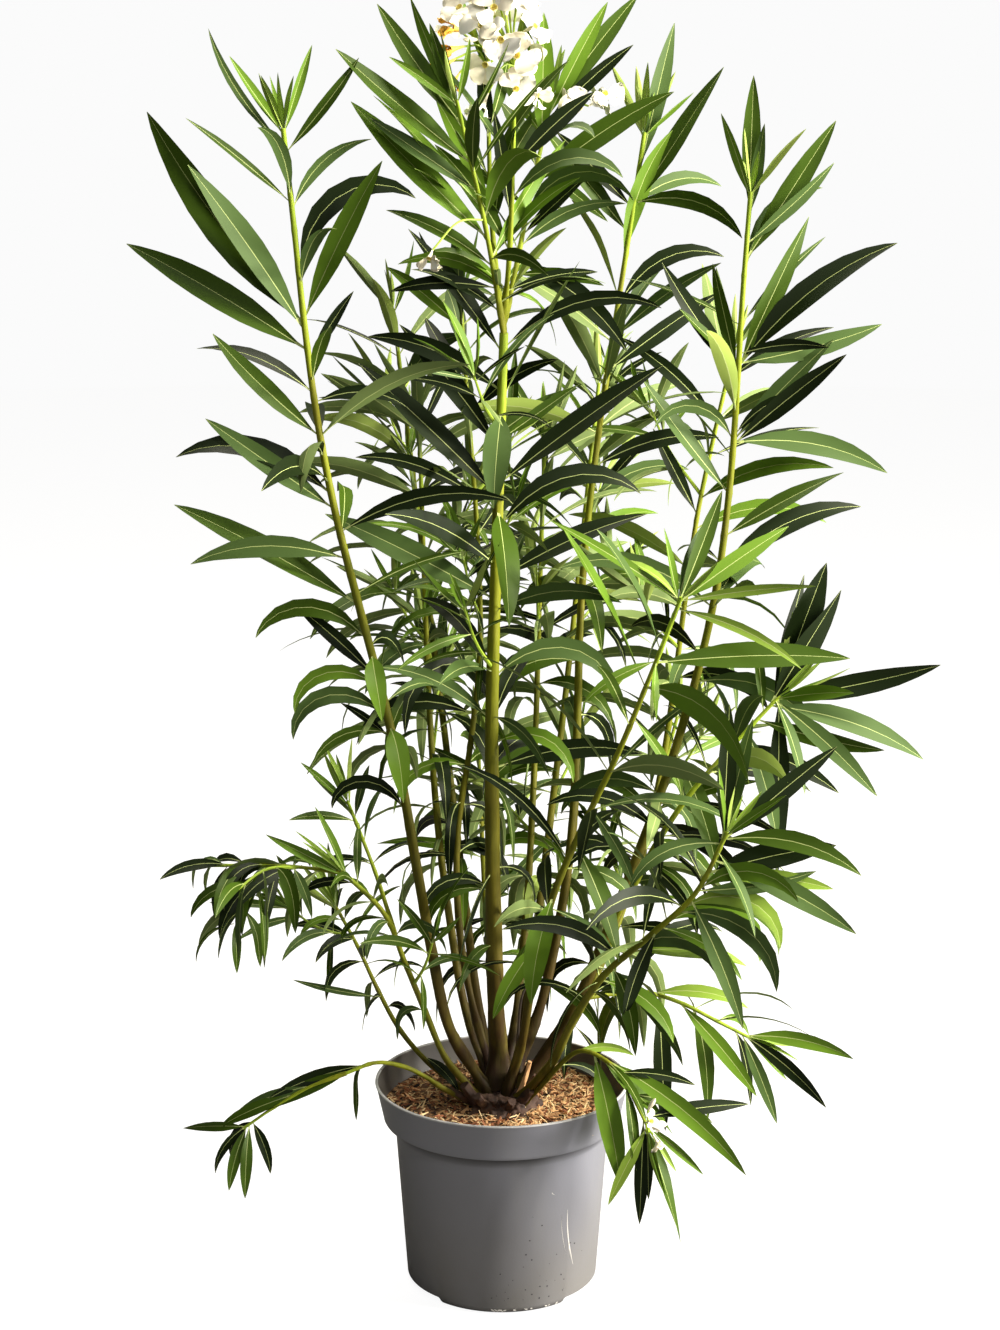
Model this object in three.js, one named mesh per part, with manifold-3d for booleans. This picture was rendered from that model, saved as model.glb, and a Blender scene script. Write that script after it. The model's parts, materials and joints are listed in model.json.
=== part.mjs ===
// A potted oleander: many stems rising from one woody root crown in a round nursery pot.
// Millimetres, +Z up, the origin at the middle of the pot's flat underside, the front of the plant towards -Y.
import * as THREE from "three";
import { mergeVertices } from "three/addons/utils/BufferGeometryUtils.js";
import Module from "manifold-3d";

const wasm = await Module();
wasm.setup();

// ---- driving dimensions ----
const pot = {
  height: 233,
  wall: 2.4,
  rimRadius: 140, // outer, at the lip
  collarRadius: 131.5, // outer, at the collar's lower edge
  collarBottom: 190,
  collarStep: 2.5, // rise of the shoulder under the collar
  bodyTopRadius: 119,
  bodyBottomRadius: 106,
  cornerHeight: 9, // where the body turns in to the underside
  footRadius: 96,
  notchHeight: 9,
  notchSpan: 72,
  notchDepth: 10,
  notchBearings: [90, 210, 330], // degrees from +X towards +Y: one at the back, two at the front
  sides: 32,
};
const compost = { level: 205, heap: 4, seat: 62, rings: 2 };
const crown = { radius: 50, height: 36, sides: 14, rings: 5 };
const fit = 0.4; // clearance between pieces that touch
const limbGrain = { sides: 5, step: 135, bend: 0.5 }; // one straight piece's length, and its turn in radians
const massGrain = { sides: 8, rings: 5 };
const massLobes = { broad: 0.16, small: 0.08 }; // swell of the outline, as shares of the reach

// Every limb passes through its points in turn, each one [x, y, z]; its radii are those at its foot and tip.
// A stem grows from the root crown, and a bough from another limb at a share of that limb's length.
const limbs = {
  stem_centre: { radii: [10.8, 4.6], via: [[-3, -8, 205], [-11, -20, 600], [2, -35, 1062]] },
  stem_left: {
    radii: [6.8, 2.6],
    via: [[-28, -16, 212], [-62, -40, 325], [-112, -80, 630], [-182, -110, 951], [-217, -100, 1270]],
  },
  stem_inner_left: { radii: [5.4, 2.2], via: [[-26, 22, 210], [-72, 100, 495], [-93, 160, 960]] },
  stem_inner: { radii: [4.8, 2], via: [[-14, 14, 210], [-51, 48, 448], [-24, 72, 705], [-45, 100, 1090]] },
  stem_inner_right: { radii: [5.2, 2.2], via: [[6, 26, 210], [29, 100, 409], [49, 220, 920]] },
  stem_right_arch: { radii: [5.6, 2.2], via: [[12, -24, 212], [49, -88, 455], [129, -150, 668], [179, -180, 812]] },
  stem_right_tall: { radii: [6.4, 2.4], via: [[20, 10, 210], [74, 70, 453], [93, 118, 819], [153, 120, 1262]] },
  stem_right_far: { radii: [7, 2.4], via: [[28, -8, 210], [107, -20, 389], [221, -22, 757], [255, -20, 1205]] },
  stem_right_back: { radii: [5.4, 2.2], via: [[30, 30, 210], [156, 100, 456], [220, 140, 857], [256, 142, 1030]] },
  stem_right_front: { radii: [5.8, 2.2], via: [[30, -26, 210], [103, -130, 393], [193, -200, 505], [226, -220, 580]] },
  stem_over_right: { radii: [3.4, 1.8], via: [[38, -34, 212], [73, -84, 296], [118, -114, 292], [156, -140, 230]] },
  stem_low_left: { radii: [4.2, 2.4], via: [[-40, -24, 212], [-93, -50, 354], [-133, -68, 458], [-168, -70, 492]] },
  stem_low_left_back: { radii: [3.6, 1.8], via: [[-44, 2, 212], [-114, 40, 275], [-165, 70, 369], [-187, 74, 410]] },
  stem_over_left: { radii: [3.4, 1.9], via: [[-44, -10, 210], [-96, -52, 262], [-131, -70, 279], [-168, -80, 270]] },
  stem_back_left: { radii: [5.8, 2.2], via: [[-16, 38, 210], [-62, 160, 560], [-124, 262, 1060]] },
  stem_back_right: { radii: [5.8, 2.2], via: [[16, 42, 210], [66, 190, 560], [112, 280, 975]] },
  stem_back_low: { radii: [4.6, 2], via: [[-2, 46, 210], [-18, 150, 372], [-28, 262, 560]] },
  stem_back_side: { radii: [4.8, 2], via: [[40, 20, 210], [130, 130, 360], [205, 232, 590]] },
  bough_crown_left: { from: "stem_centre", share: 1, radii: [3.4, 1.8], via: [[-15, -62, 1163], [-45, -100, 1298]] },
  bough_crown_back: { from: "stem_centre", share: 1, radii: [3.6, 1.8], via: [[-10, -8, 1165], [-15, 0, 1330]] },
  bough_crown_front: { from: "stem_centre", share: 1, radii: [3.4, 1.8], via: [[9, -46, 1170], [13, -56, 1330]] },
  bough_crown_right: { from: "stem_centre", share: 1, radii: [3.4, 1.8], via: [[20, -2, 1155], [52, 60, 1296]] },
  bough_right_mid: { from: "stem_right_far", share: 0.2, radii: [4.5, 2], via: [[189, -72, 566], [292, -66, 685]] },
  bough_right_low: { from: "stem_right_far", share: 0.13, radii: [3.4, 1.8], via: [[168, 30, 322], [278, 34, 268]] },
  bough_low_left: { from: "stem_low_left", share: 1, radii: [2.4, 1.6], via: [[-232, -70, 500], [-312, -70, 500]] },
  bough_low_left_up: { from: "stem_low_left", share: 0.68, radii: [2.6, 1.8], via: [[-134, -38, 476], [-166, -28, 560]] },
  bough_over_left: { from: "stem_over_left", share: 1, radii: [2.3, 1.5], via: [[-218, -82, 250], [-280, -84, 208]] },
};

// Every mass sits round a stretch of one limb, given as shares of its length; past 1 it stands over the tip.
// reach is its radius, which east, west, front and back stretch. Its outer side runs ahead up the shoot by the
// sweep, or hangs by the droop, each a share of the reach.
const masses = {
  leaves_left_top: { on: "stem_left", span: [0.82, 1.04], reach: 95, west: 1.4, sweep: 0.5 },
  leaves_left_mid: { on: "stem_left", span: [0.62, 0.83], reach: 115, west: 1.6, sweep: 0.75 },
  leaves_left_low: { on: "stem_left", span: [0.38, 0.67], reach: 112, west: 1.6, sweep: 0.1 },
  leaves_crown_left: { on: "bough_crown_left", span: [0, 1.12], reach: 84, west: 1.65, sweep: 0.85 },
  leaves_crown_back: { on: "bough_crown_back", span: [0.2, 1.23], reach: 62, front: 0.6 },
  leaves_crown_front: { on: "bough_crown_front", span: [0.3, 1.14], reach: 44 },
  leaves_crown_right: { on: "bough_crown_right", span: [0.1, 1.25], reach: 80, east: 1.35, sweep: 0.9 },
  leaves_right_tall_top: { on: "stem_right_tall", span: [0.84, 1.08], reach: 84, sweep: 0.6 },
  leaves_right_tall_mid: { on: "stem_right_tall", span: [0.6, 0.84], reach: 98 },
  leaves_right_far_top: { on: "stem_right_far", span: [0.82, 1.07], reach: 92, east: 1.4, back: 0.7, sweep: 0.45 },
  leaves_right_far_mid: { on: "stem_right_far", span: [0.57, 0.81], reach: 100, east: 1.4, back: 0.6, sweep: 0.4 },
  leaves_right_arch_top: { on: "stem_right_arch", span: [0.8, 1.18], reach: 105, back: 0.7 },
  leaves_right_arch_low: { on: "stem_right_arch", span: [0.4, 0.78], reach: 78, droop: 0.2 },
  leaves_right_mid: { on: "bough_right_mid", span: [0.52, 1.32], reach: 112, east: 1.7, front: 0.7, back: 0.6 },
  leaves_right_front: { on: "stem_right_front", span: [0.62, 1.28], reach: 98, east: 1.4, back: 0.6, droop: 0.25 },
  leaves_right_back: { on: "stem_right_back", span: [0.5, 1.08], reach: 74, front: 0.6 },
  leaves_right_low: { on: "bough_right_low", span: [0.15, 1.5], reach: 68, back: 0.7, droop: 0.25 },
  leaves_over_right: { on: "stem_over_right", span: [0.55, 1.5], reach: 62, east: 1.8, sweep: 0.3 },
  leaves_inner: { on: "stem_inner", span: [0.5, 1.06], reach: 72 },
  leaves_inner_left: { on: "stem_inner_left", span: [0.38, 1.05], reach: 80 },
  leaves_inner_right: { on: "stem_inner_right", span: [0.4, 1.05], reach: 78 },
  leaves_back_left: { on: "stem_back_left", span: [0.52, 1.1], reach: 94, west: 1.1 },
  leaves_back_right: { on: "stem_back_right", span: [0.45, 1.12], reach: 92 },
  leaves_back_low: { on: "stem_back_low", span: [0.42, 1.25], reach: 80 },
  leaves_back_side: { on: "stem_back_side", span: [0.5, 1.25], reach: 74 },
  leaves_low_left: { on: "bough_low_left", span: [-0.2, 1.3], reach: 62, front: 0.7, back: 0.7, droop: 0.9 },
  leaves_low_left_up: { on: "bough_low_left_up", span: [0.2, 1.22], reach: 44 },
  leaves_low_left_back: { on: "stem_low_left_back", span: [0.5, 1.25], reach: 46, droop: 0.5 },
  leaves_over_left: { on: "bough_over_left", span: [0.3, 1.6], reach: 34, droop: 0.9 },
};

const finishes = {
  pot: new THREE.MeshStandardMaterial({ color: 0x8d8d90, roughness: 0.5, metalness: 0 }),
  compost: new THREE.MeshStandardMaterial({ color: 0x8a5f3c, roughness: 0.95, metalness: 0 }),
  bark: new THREE.MeshStandardMaterial({ color: 0x6a5636, roughness: 0.8, metalness: 0 }),
  shoot: new THREE.MeshStandardMaterial({ color: 0x8fa132, roughness: 0.5, metalness: 0 }),
  leaf: new THREE.MeshStandardMaterial({ color: 0x3f6a2c, roughness: 0.45, metalness: 0 }),
};

// ---- solids ----
// A closed geometry as a solid, once its corners are shared.
function solidOf(geometry) {
  const bare = geometry.clone();
  for (const name of Object.keys(bare.attributes)) {
    if (name !== "position") bare.deleteAttribute(name);
  }
  const merged = mergeVertices(bare, 1e-3);
  return new wasm.Manifold(
    new wasm.Mesh({
      numProp: 3,
      vertProperties: new Float32Array(merged.attributes.position.array),
      triVerts: new Uint32Array(merged.index.array),
    }),
  );
}

function geometryOf(solid) {
  const mesh = solid.getMesh();
  const geometry = new THREE.BufferGeometry();
  geometry.setAttribute("position", new THREE.BufferAttribute(new Float32Array(mesh.vertProperties), 3));
  geometry.setIndex(new THREE.BufferAttribute(new Uint32Array(mesh.triVerts), 1));
  geometry.computeVertexNormals();
  return geometry;
}

function largestPiece(solid) {
  return solid.decompose().reduce((a, b) => (b.volume() > a.volume() ? b : a));
}

// Stands a lathe's profile of [radius, height] pairs up along +Z.
function turned(profile, sides) {
  const points = profile.map(([r, z]) => new THREE.Vector2(r, z));
  return new THREE.LatheGeometry(points, sides).rotateX(Math.PI / 2);
}

// ---- pot ----
// The radius of the collar's inner face at a height.
function collarInside(z) {
  const foot = pot.collarBottom + pot.collarStep + pot.wall;
  const share = (z - foot) / (pot.height - foot);
  return THREE.MathUtils.lerp(pot.collarRadius, pot.rimRadius, share) - pot.wall;
}

// A thin-walled pot on a flat underside, with drain notches cut through its lower edge.
function potSolid() {
  const { wall, collarBottom, collarStep, footRadius } = pot;
  const shell = solidOf(
    turned(
      [
        [0, 0],
        [footRadius, 0],
        [footRadius + 6.5, pot.cornerHeight * 0.35],
        [pot.bodyBottomRadius, pot.cornerHeight],
        [pot.bodyTopRadius, collarBottom],
        [pot.collarRadius - 1.5, collarBottom],
        [pot.collarRadius, collarBottom + collarStep],
        [pot.rimRadius, pot.height - 2],
        [pot.rimRadius - 0.8, pot.height],
        [pot.rimRadius - wall, pot.height],
        [pot.collarRadius - wall, collarBottom + wall + collarStep],
        [pot.bodyTopRadius - wall, collarBottom + wall],
        [pot.bodyBottomRadius - wall, pot.cornerHeight + wall],
        [footRadius, wall],
        [0, wall],
      ],
      pot.sides,
    ),
  );
  const reach = 2 * pot.notchDepth + pot.bodyBottomRadius - footRadius;
  const notches = pot.notchBearings.map((bearing) =>
    solidOf(
      new THREE.BoxGeometry(reach, pot.notchSpan, 2 * pot.notchHeight)
        .translate(footRadius - pot.notchDepth + reach / 2, 0, 0)
        .rotateZ(THREE.MathUtils.degToRad(bearing)),
    ),
  );
  return notches.reduce((left, notch) => left.subtract(notch), shell);
}

// A plain cone frustum that clears the pot all round, which no mass of leaves may enter.
function potSpace() {
  const profile = [
    [0, -fit],
    [pot.bodyBottomRadius + fit, -fit],
    [pot.rimRadius + 2 * fit, pot.height + fit],
    [0, pot.height + fit],
  ];
  return solidOf(turned(profile, pot.sides));
}

// ---- compost ----
// It fills the pot to its level, flat under the root crown and uneven round it.
function compostSolid() {
  const inset = pot.wall + fit;
  const brim = collarInside(compost.level) - fit;
  const profile = [
    [0, inset],
    [pot.footRadius - pot.notchDepth - 2, inset],
    [pot.bodyBottomRadius - inset - 1, pot.cornerHeight + inset + 3],
    [pot.bodyTopRadius - inset, pot.collarBottom],
    [pot.bodyTopRadius - inset, pot.collarBottom + inset + fit],
    [pot.collarRadius - inset, pot.collarBottom + pot.collarStep + inset + fit],
  ];
  for (let i = 0; i <= compost.rings; i += 1) {
    profile.push([THREE.MathUtils.lerp(brim, compost.seat, i / compost.rings), compost.level]);
  }
  profile.push([0, compost.level]);
  const geometry = turned(profile, pot.sides);
  const at = geometry.attributes.position;
  for (let i = 0; i < at.count; i += 1) {
    const radius = Math.hypot(at.getX(i), at.getY(i));
    if (at.getZ(i) < compost.level - 1 || radius < compost.seat + 1 || radius > brim - 1) continue;
    const angle = Math.atan2(at.getY(i), at.getX(i));
    at.setZ(i, compost.level + compost.heap * Math.sin(3 * angle + 1) * Math.cos(5 * angle + radius / 19));
  }
  return solidOf(geometry);
}

// ---- root crown ----
// A low knuckled dome with a flat cut on the compost, where the stems part. extra grows it all round.
function crownSolid(extra = 0) {
  const low = compost.level + fit - extra;
  const profile = [[0, low]];
  for (let i = 0; i < crown.rings; i += 1) {
    const turn = (i / crown.rings) * (Math.PI / 2);
    const rise = i === 0 ? 0 : crown.height * Math.sin(turn) + extra;
    profile.push([crown.radius * Math.cos(turn) + extra, low + rise]);
  }
  profile.push([0, low + crown.height + 2 * extra]);
  const geometry = turned(profile, crown.sides);
  const at = geometry.attributes.position;
  for (let i = 0; i < at.count; i += 1) {
    const angle = Math.atan2(at.getY(i), at.getX(i));
    const knuckle = 1 + 0.09 * Math.sin(5 * angle + 0.6) + 0.05 * Math.cos(3 * angle);
    at.setXYZ(i, at.getX(i) * knuckle, at.getY(i) * knuckle, at.getZ(i));
  }
  return solidOf(geometry);
}

// ---- limbs ----
const curves = {};

// The limb's middle line, from its foot to its tip.
function limbCurve(name) {
  if (!curves[name]) {
    const limb = limbs[name];
    const points = limb.via.map((p) => new THREE.Vector3(...p));
    if (limb.from) points.unshift(limbCurve(limb.from).getPointAt(limb.share));
    curves[name] = new THREE.CatmullRomCurve3(points, false, "centripetal");
  }
  return curves[name];
}

// A closed cylinder whose rings are laid along the limb's curve, tapering from foot to tip. extra grows it.
function limbSolid(name, extra = 0) {
  const limb = limbs[name];
  const curve = limbCurve(name);
  const bend = curve.getTangent(0).angleTo(curve.getTangent(1));
  const steps = Math.round(2 + curve.getLength() / limbGrain.step + bend / limbGrain.bend);
  const geometry = new THREE.CylinderGeometry(1, 1, 1, limbGrain.sides, steps).rotateX(Math.PI / 2);
  const at = geometry.attributes.position;
  const chord = curve.getPoint(1).sub(curve.getPoint(0)).normalize();
  const side = Math.abs(chord.z) > 0.6 ? new THREE.Vector3(1, 0, 0) : new THREE.Vector3(0, 0, 1);
  for (let i = 0; i < at.count; i += 1) {
    const share = Math.round((at.getZ(i) + 0.5) * steps) / steps;
    const centre = curve.getPointAt(share);
    const along = curve.getTangentAt(share);
    const across = new THREE.Vector3().crossVectors(along, side).normalize();
    const other = new THREE.Vector3().crossVectors(across, along).normalize();
    const radius = THREE.MathUtils.lerp(...limb.radii, share ** 0.8) + extra;
    centre.addScaledVector(other, at.getX(i) * radius).addScaledVector(across, at.getY(i) * radius);
    if (share === 0) centre.addScaledVector(along, -extra);
    if (share === 1) centre.addScaledVector(along, extra);
    at.setXYZ(i, centre.x, centre.y, centre.z);
  }
  return solidOf(geometry);
}

// ---- masses of leaves ----
// A sphere laid along the limb's stretch: its rings stand square to the shoot, and its outer side runs on ahead
// of its middle by the sweep, as leaves that point up the shoot do, or hangs below it by the droop. Its place in
// the order turns its lobes, and extra grows it.
function massSolid(name, order, extra = 0) {
  const mass = masses[name];
  const curve = limbCurve(mass.on);
  const pointAt = (share) => {
    const inside = THREE.MathUtils.clamp(share, 0, 1);
    const point = curve.getPointAt(inside);
    return point.addScaledVector(curve.getTangentAt(inside), (share - inside) * curve.getLength());
  };
  const [low, high] = mass.span;
  const along = pointAt(high).sub(pointAt(low)).normalize();
  const turn = new THREE.Quaternion().setFromUnitVectors(new THREE.Vector3(0, 0, 1), along);
  const geometry = new THREE.SphereGeometry(1, massGrain.sides, massGrain.rings).rotateX(Math.PI / 2);
  const at = geometry.attributes.position;
  for (let i = 0; i < at.count; i += 1) {
    const [x, y, z] = [at.getX(i), at.getY(i), at.getZ(i)];
    const angle = Math.atan2(y, x);
    const broad = massLobes.broad * Math.sin(3 * angle + order + 2 * z);
    const small = massLobes.small * Math.cos(5 * angle - 2 * order);
    const reach = mass.reach * (1 + broad + small);
    const offset = new THREE.Vector3(x, y, 0).multiplyScalar(reach).applyQuaternion(turn);
    offset.x *= offset.x > 0 ? (mass.east ?? 1) : (mass.west ?? 1);
    offset.y *= offset.y > 0 ? (mass.back ?? 1) : (mass.front ?? 1);
    const out = offset.length();
    const point = pointAt(THREE.MathUtils.lerp(low, high, (z + 1) / 2)).add(offset);
    point.addScaledVector(along, out * (mass.sweep ?? 0));
    point.z -= out * (mass.droop ?? 0);
    if (extra) point.addScaledVector(offset.addScaledVector(along, z * mass.reach).normalize(), extra);
    at.setXYZ(i, point.x, point.y, point.z);
  }
  return solidOf(geometry);
}

// ---- assembly ----
const plant = new THREE.Group();
plant.name = "potted_oleander";

function add(name, solid, finish) {
  const mesh = new THREE.Mesh(geometryOf(solid), finishes[finish]);
  mesh.name = name;
  plant.add(mesh);
}

add("pot", potSolid(), "pot");
add("compost", compostSolid(), "compost");
add("root_crown", crownSolid(), "bark");

// Each limb is cut clear of the crown and of the limbs before it, and each mass of the wood and its neighbours.
let wood = crownSolid(fit);
for (const name of Object.keys(limbs)) {
  const limb = largestPiece(limbSolid(name).subtract(wood));
  add(name, limb, limbs[name].from ? "shoot" : "bark");
  wood = wood.add(limbSolid(name, fit));
}

const taken = [wood, potSpace()];
Object.keys(masses).forEach((name, order) => {
  const mass = taken.reduce((left, other) => left.subtract(other), massSolid(name, order));
  add(name, largestPiece(mass), "leaf");
  taken.push(massSolid(name, order, fit));
});

export default plant;
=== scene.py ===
import json
import math

import bpy
import numpy as np
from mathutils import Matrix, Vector, noise

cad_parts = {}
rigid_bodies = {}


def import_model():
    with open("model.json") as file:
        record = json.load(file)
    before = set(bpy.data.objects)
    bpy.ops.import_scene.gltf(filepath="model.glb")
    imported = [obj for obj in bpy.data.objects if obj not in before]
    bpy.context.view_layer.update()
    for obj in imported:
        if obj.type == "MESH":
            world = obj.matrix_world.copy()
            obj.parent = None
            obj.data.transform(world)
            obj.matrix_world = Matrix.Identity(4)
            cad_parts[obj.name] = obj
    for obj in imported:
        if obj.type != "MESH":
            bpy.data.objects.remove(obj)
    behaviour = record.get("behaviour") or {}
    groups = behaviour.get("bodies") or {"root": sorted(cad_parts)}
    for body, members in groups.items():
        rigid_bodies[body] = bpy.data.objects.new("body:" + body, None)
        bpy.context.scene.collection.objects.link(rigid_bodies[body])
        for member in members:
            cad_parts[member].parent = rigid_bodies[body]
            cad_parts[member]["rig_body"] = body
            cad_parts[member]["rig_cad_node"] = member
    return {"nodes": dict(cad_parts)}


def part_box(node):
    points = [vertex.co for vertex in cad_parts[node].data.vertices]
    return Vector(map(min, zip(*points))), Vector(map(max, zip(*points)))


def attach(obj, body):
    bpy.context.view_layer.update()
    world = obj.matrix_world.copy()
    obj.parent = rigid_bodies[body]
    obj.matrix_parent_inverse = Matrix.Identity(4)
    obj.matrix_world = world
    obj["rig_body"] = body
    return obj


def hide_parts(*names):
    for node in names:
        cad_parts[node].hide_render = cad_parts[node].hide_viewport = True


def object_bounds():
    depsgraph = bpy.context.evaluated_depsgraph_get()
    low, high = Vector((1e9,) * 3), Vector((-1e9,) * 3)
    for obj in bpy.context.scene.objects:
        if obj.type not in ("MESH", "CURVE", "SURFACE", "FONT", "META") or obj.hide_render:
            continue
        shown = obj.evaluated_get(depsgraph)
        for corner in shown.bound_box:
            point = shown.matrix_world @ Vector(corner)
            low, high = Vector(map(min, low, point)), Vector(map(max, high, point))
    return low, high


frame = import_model()
nodes = frame["nodes"]
cadBox = [list(corner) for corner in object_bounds()]
mm = 0.001


# ---- working helpers ----
def deselectAll():
    if bpy.context.object and bpy.context.object.mode != "OBJECT":
        bpy.ops.object.mode_set(mode="OBJECT")
    bpy.ops.object.select_all(action="DESELECT")


def makeActive(piece):
    deselectAll()
    piece.select_set(True)
    bpy.context.view_layer.objects.active = piece


def editAll():
    bpy.ops.object.mode_set(mode="EDIT")
    bpy.ops.mesh.select_all(action="SELECT")


def turnOutward():
    bpy.ops.mesh.select_all(action="SELECT")
    bpy.ops.mesh.normals_make_consistent(inside=False)
    bpy.ops.object.mode_set(mode="OBJECT")


def applyModifier(piece, kind, **settings):
    makeActive(piece)
    modifier = piece.modifiers.new(kind.title(), kind)
    for key, value in settings.items():
        setattr(modifier, key, value)
    bpy.ops.object.modifier_apply(modifier=modifier.name)


def smoothShade(piece, angle=35):
    makeActive(piece)
    bpy.ops.object.shade_smooth_by_angle(angle=math.radians(angle))


def dress(piece, finish, angle):
    piece.data.materials.clear()
    piece.data.materials.append(finish)
    smoothShade(piece, angle)


def meshFrom(name, corners, faces, finishes, faceFinish=None):
    mesh = bpy.data.meshes.new(name)
    mesh.from_pydata(np.asarray(corners).tolist(), [], faces)
    for finish in finishes:
        mesh.materials.append(finish)
    if faceFinish is not None:
        mesh.polygons.foreach_set("material_index", np.asarray(faceFinish, np.int32))
    piece = bpy.data.objects.new(name, mesh)
    bpy.context.scene.collection.objects.link(piece)
    return piece


def settle(piece, slotName, *replaced):
    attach(piece, "root")
    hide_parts(*replaced)


def unit(v):
    return v / max(np.linalg.norm(v), 1e-9)


# A direction from its bearing, from +X towards +Y, and its rise above level, in degrees.
def heading(bearing, rise):
    b, r = math.radians(bearing), math.radians(rise)
    return np.array([math.cos(b) * math.cos(r), math.sin(b) * math.cos(r), math.sin(r)])


def bearingAndRise(away):
    return math.degrees(math.atan2(away[1], away[0])), math.degrees(math.asin(away[2]))


def level(height):
    return np.array([0, 0, height])


# Two directions square to the one ahead, and to each other.
def squareTo(ahead):
    side = unit(np.cross(ahead, [0, 1, 0] if abs(ahead[1]) < 0.9 else [1, 0, 0]))
    return side, np.cross(ahead, side)


# The side direction at every row, carried along the rows without a twist.
def carried(side, ahead):
    sides = []
    for direction in ahead:
        side = unit(side - direction * side.dot(direction))
        sides.append(side)
    return np.array(sides)


def turnsRound(count):
    return np.linspace(0, 2 * math.pi, count, endpoint=False)


# A value part of the way through an even list of values.
def along(values, share):
    return float(np.interp(share, np.linspace(0, 1, len(values)), values))


# A closed skin over rows of corners, each row one loop: its corners, and its faces as lists, caps last.
def skin(loops):
    rows, sides = loops.shape[:2]
    at = np.arange(rows * sides).reshape(rows, sides)
    ahead = np.roll(at, -1, axis=1)
    faces = np.stack([at[:-1], ahead[:-1], ahead[1:], at[1:]], axis=-1).reshape(-1, 4)
    return loops.reshape(-1, 3), faces.tolist() + [at[0, ::-1].tolist(), at[-1].tolist()]


# The loops of a round shape on the +Z axis, from its profile of radius and height.
def lathe(profile, sides):
    turns = turnsRound(sides)
    return np.array([[(r * math.cos(a), r * math.sin(a), z) for a in turns] for r, z in profile])


# How high the ground swells at a spot, from pairs of noise scale and height.
def relief(spot, waves):
    return sum(noise.noise(spot * scale) * tall for scale, tall in waves)


# Many small shapes gathered into one mesh, each with the finish of its faces.
class Gathered:
    def __init__(self):
        self.corners, self.faces, self.finish, self.count = [], [], [], 0

    def add(self, corners, faces, finish):
        self.corners.append(corners)
        self.faces += [[corner + self.count for corner in face] for face in faces]
        self.finish += [finish] * len(faces) if isinstance(finish, int) else list(finish)
        self.count += len(corners)

    def piece(self, name, finishes, angle=40):
        made = meshFrom(name, np.vstack(self.corners), self.faces, finishes, self.finish)
        smoothShade(made, angle)
        return made


# ---- finishes ----
def colour(code):
    channels = [int(code[i : i + 2], 16) / 255 for i in (1, 3, 5)]
    return [c / 12.92 if c <= 0.04045 else ((c + 0.055) / 1.055) ** 2.4 for c in channels] + [1]


def newFinish(name, base, roughness, **sockets):
    finish = bpy.data.materials.new(name)
    finish.use_nodes = True
    shader = finish.node_tree.nodes["Principled BSDF"]
    shader.inputs["Base Color"].default_value = colour(base)
    shader.inputs["Roughness"].default_value = roughness
    for key, value in sockets.items():
        shader.inputs[key.replace("_", " ")].default_value = value
    return finish


def addNode(finish, kind, inputs, **settings):
    made = finish.node_tree.nodes.new("ShaderNode" + kind)
    for key, value in settings.items():
        setattr(made, key, value)
    for key, value in inputs.items():
        if isinstance(value, bpy.types.NodeSocket):
            finish.node_tree.links.new(value, made.inputs[key])
        else:
            made.inputs[key].default_value = value
    return made


def wire(finish, key, socket):
    finish.node_tree.links.new(socket, finish.node_tree.nodes["Principled BSDF"].inputs[key])


# Noise on the piece's own coordinates, stretched by the scale along each axis.
def addNoise(finish, scale, detail=4, stretch=(1, 1, 1)):
    place = addNode(finish, "TexCoord", {})
    mapping = addNode(finish, "Mapping", {"Vector": place.outputs["Object"], "Scale": stretch})
    sockets = {"Vector": mapping.outputs[0], "Scale": scale, "Detail": detail}
    return addNode(finish, "TexNoise", sockets).outputs[0]


def addRamp(finish, share, stops):
    ramp = addNode(finish, "ValToRGB", {"Fac": share})
    elements = ramp.color_ramp.elements
    elements.remove(elements[1])
    elements[0].position = stops[0][0]
    elements[0].color = colour(stops[0][1])
    for place, code in stops[1:]:
        elements.new(place).color = colour(code)
    return ramp.outputs[0]


def addMix(finish, share, low, high, blend="MIX"):
    blended = addNode(finish, "Mix", {}, data_type="RGBA", blend_type=blend)
    for key, value in (("Factor", share), ("A", low), ("B", high)):
        socket = next(s for s in blended.inputs if s.name == key and s.enabled)
        if isinstance(value, bpy.types.NodeSocket):
            finish.node_tree.links.new(value, socket)
        else:
            socket.default_value = value
    return next(s for s in blended.outputs if s.enabled)


# A value's run from low to high, turned into a run between two others.
def remap(finish, value, low, high, last=1.0, first=0.0):
    sockets = {"Value": value, "From Min": low, "From Max": high, "To Min": first, "To Max": last}
    return addNode(finish, "MapRange", sockets).outputs[0]


def addBump(finish, height, distance, strength=1.0):
    bump = addNode(finish, "Bump", {"Height": height, "Distance": distance, "Strength": strength})
    wire(finish, "Normal", bump.outputs[0])


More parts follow.
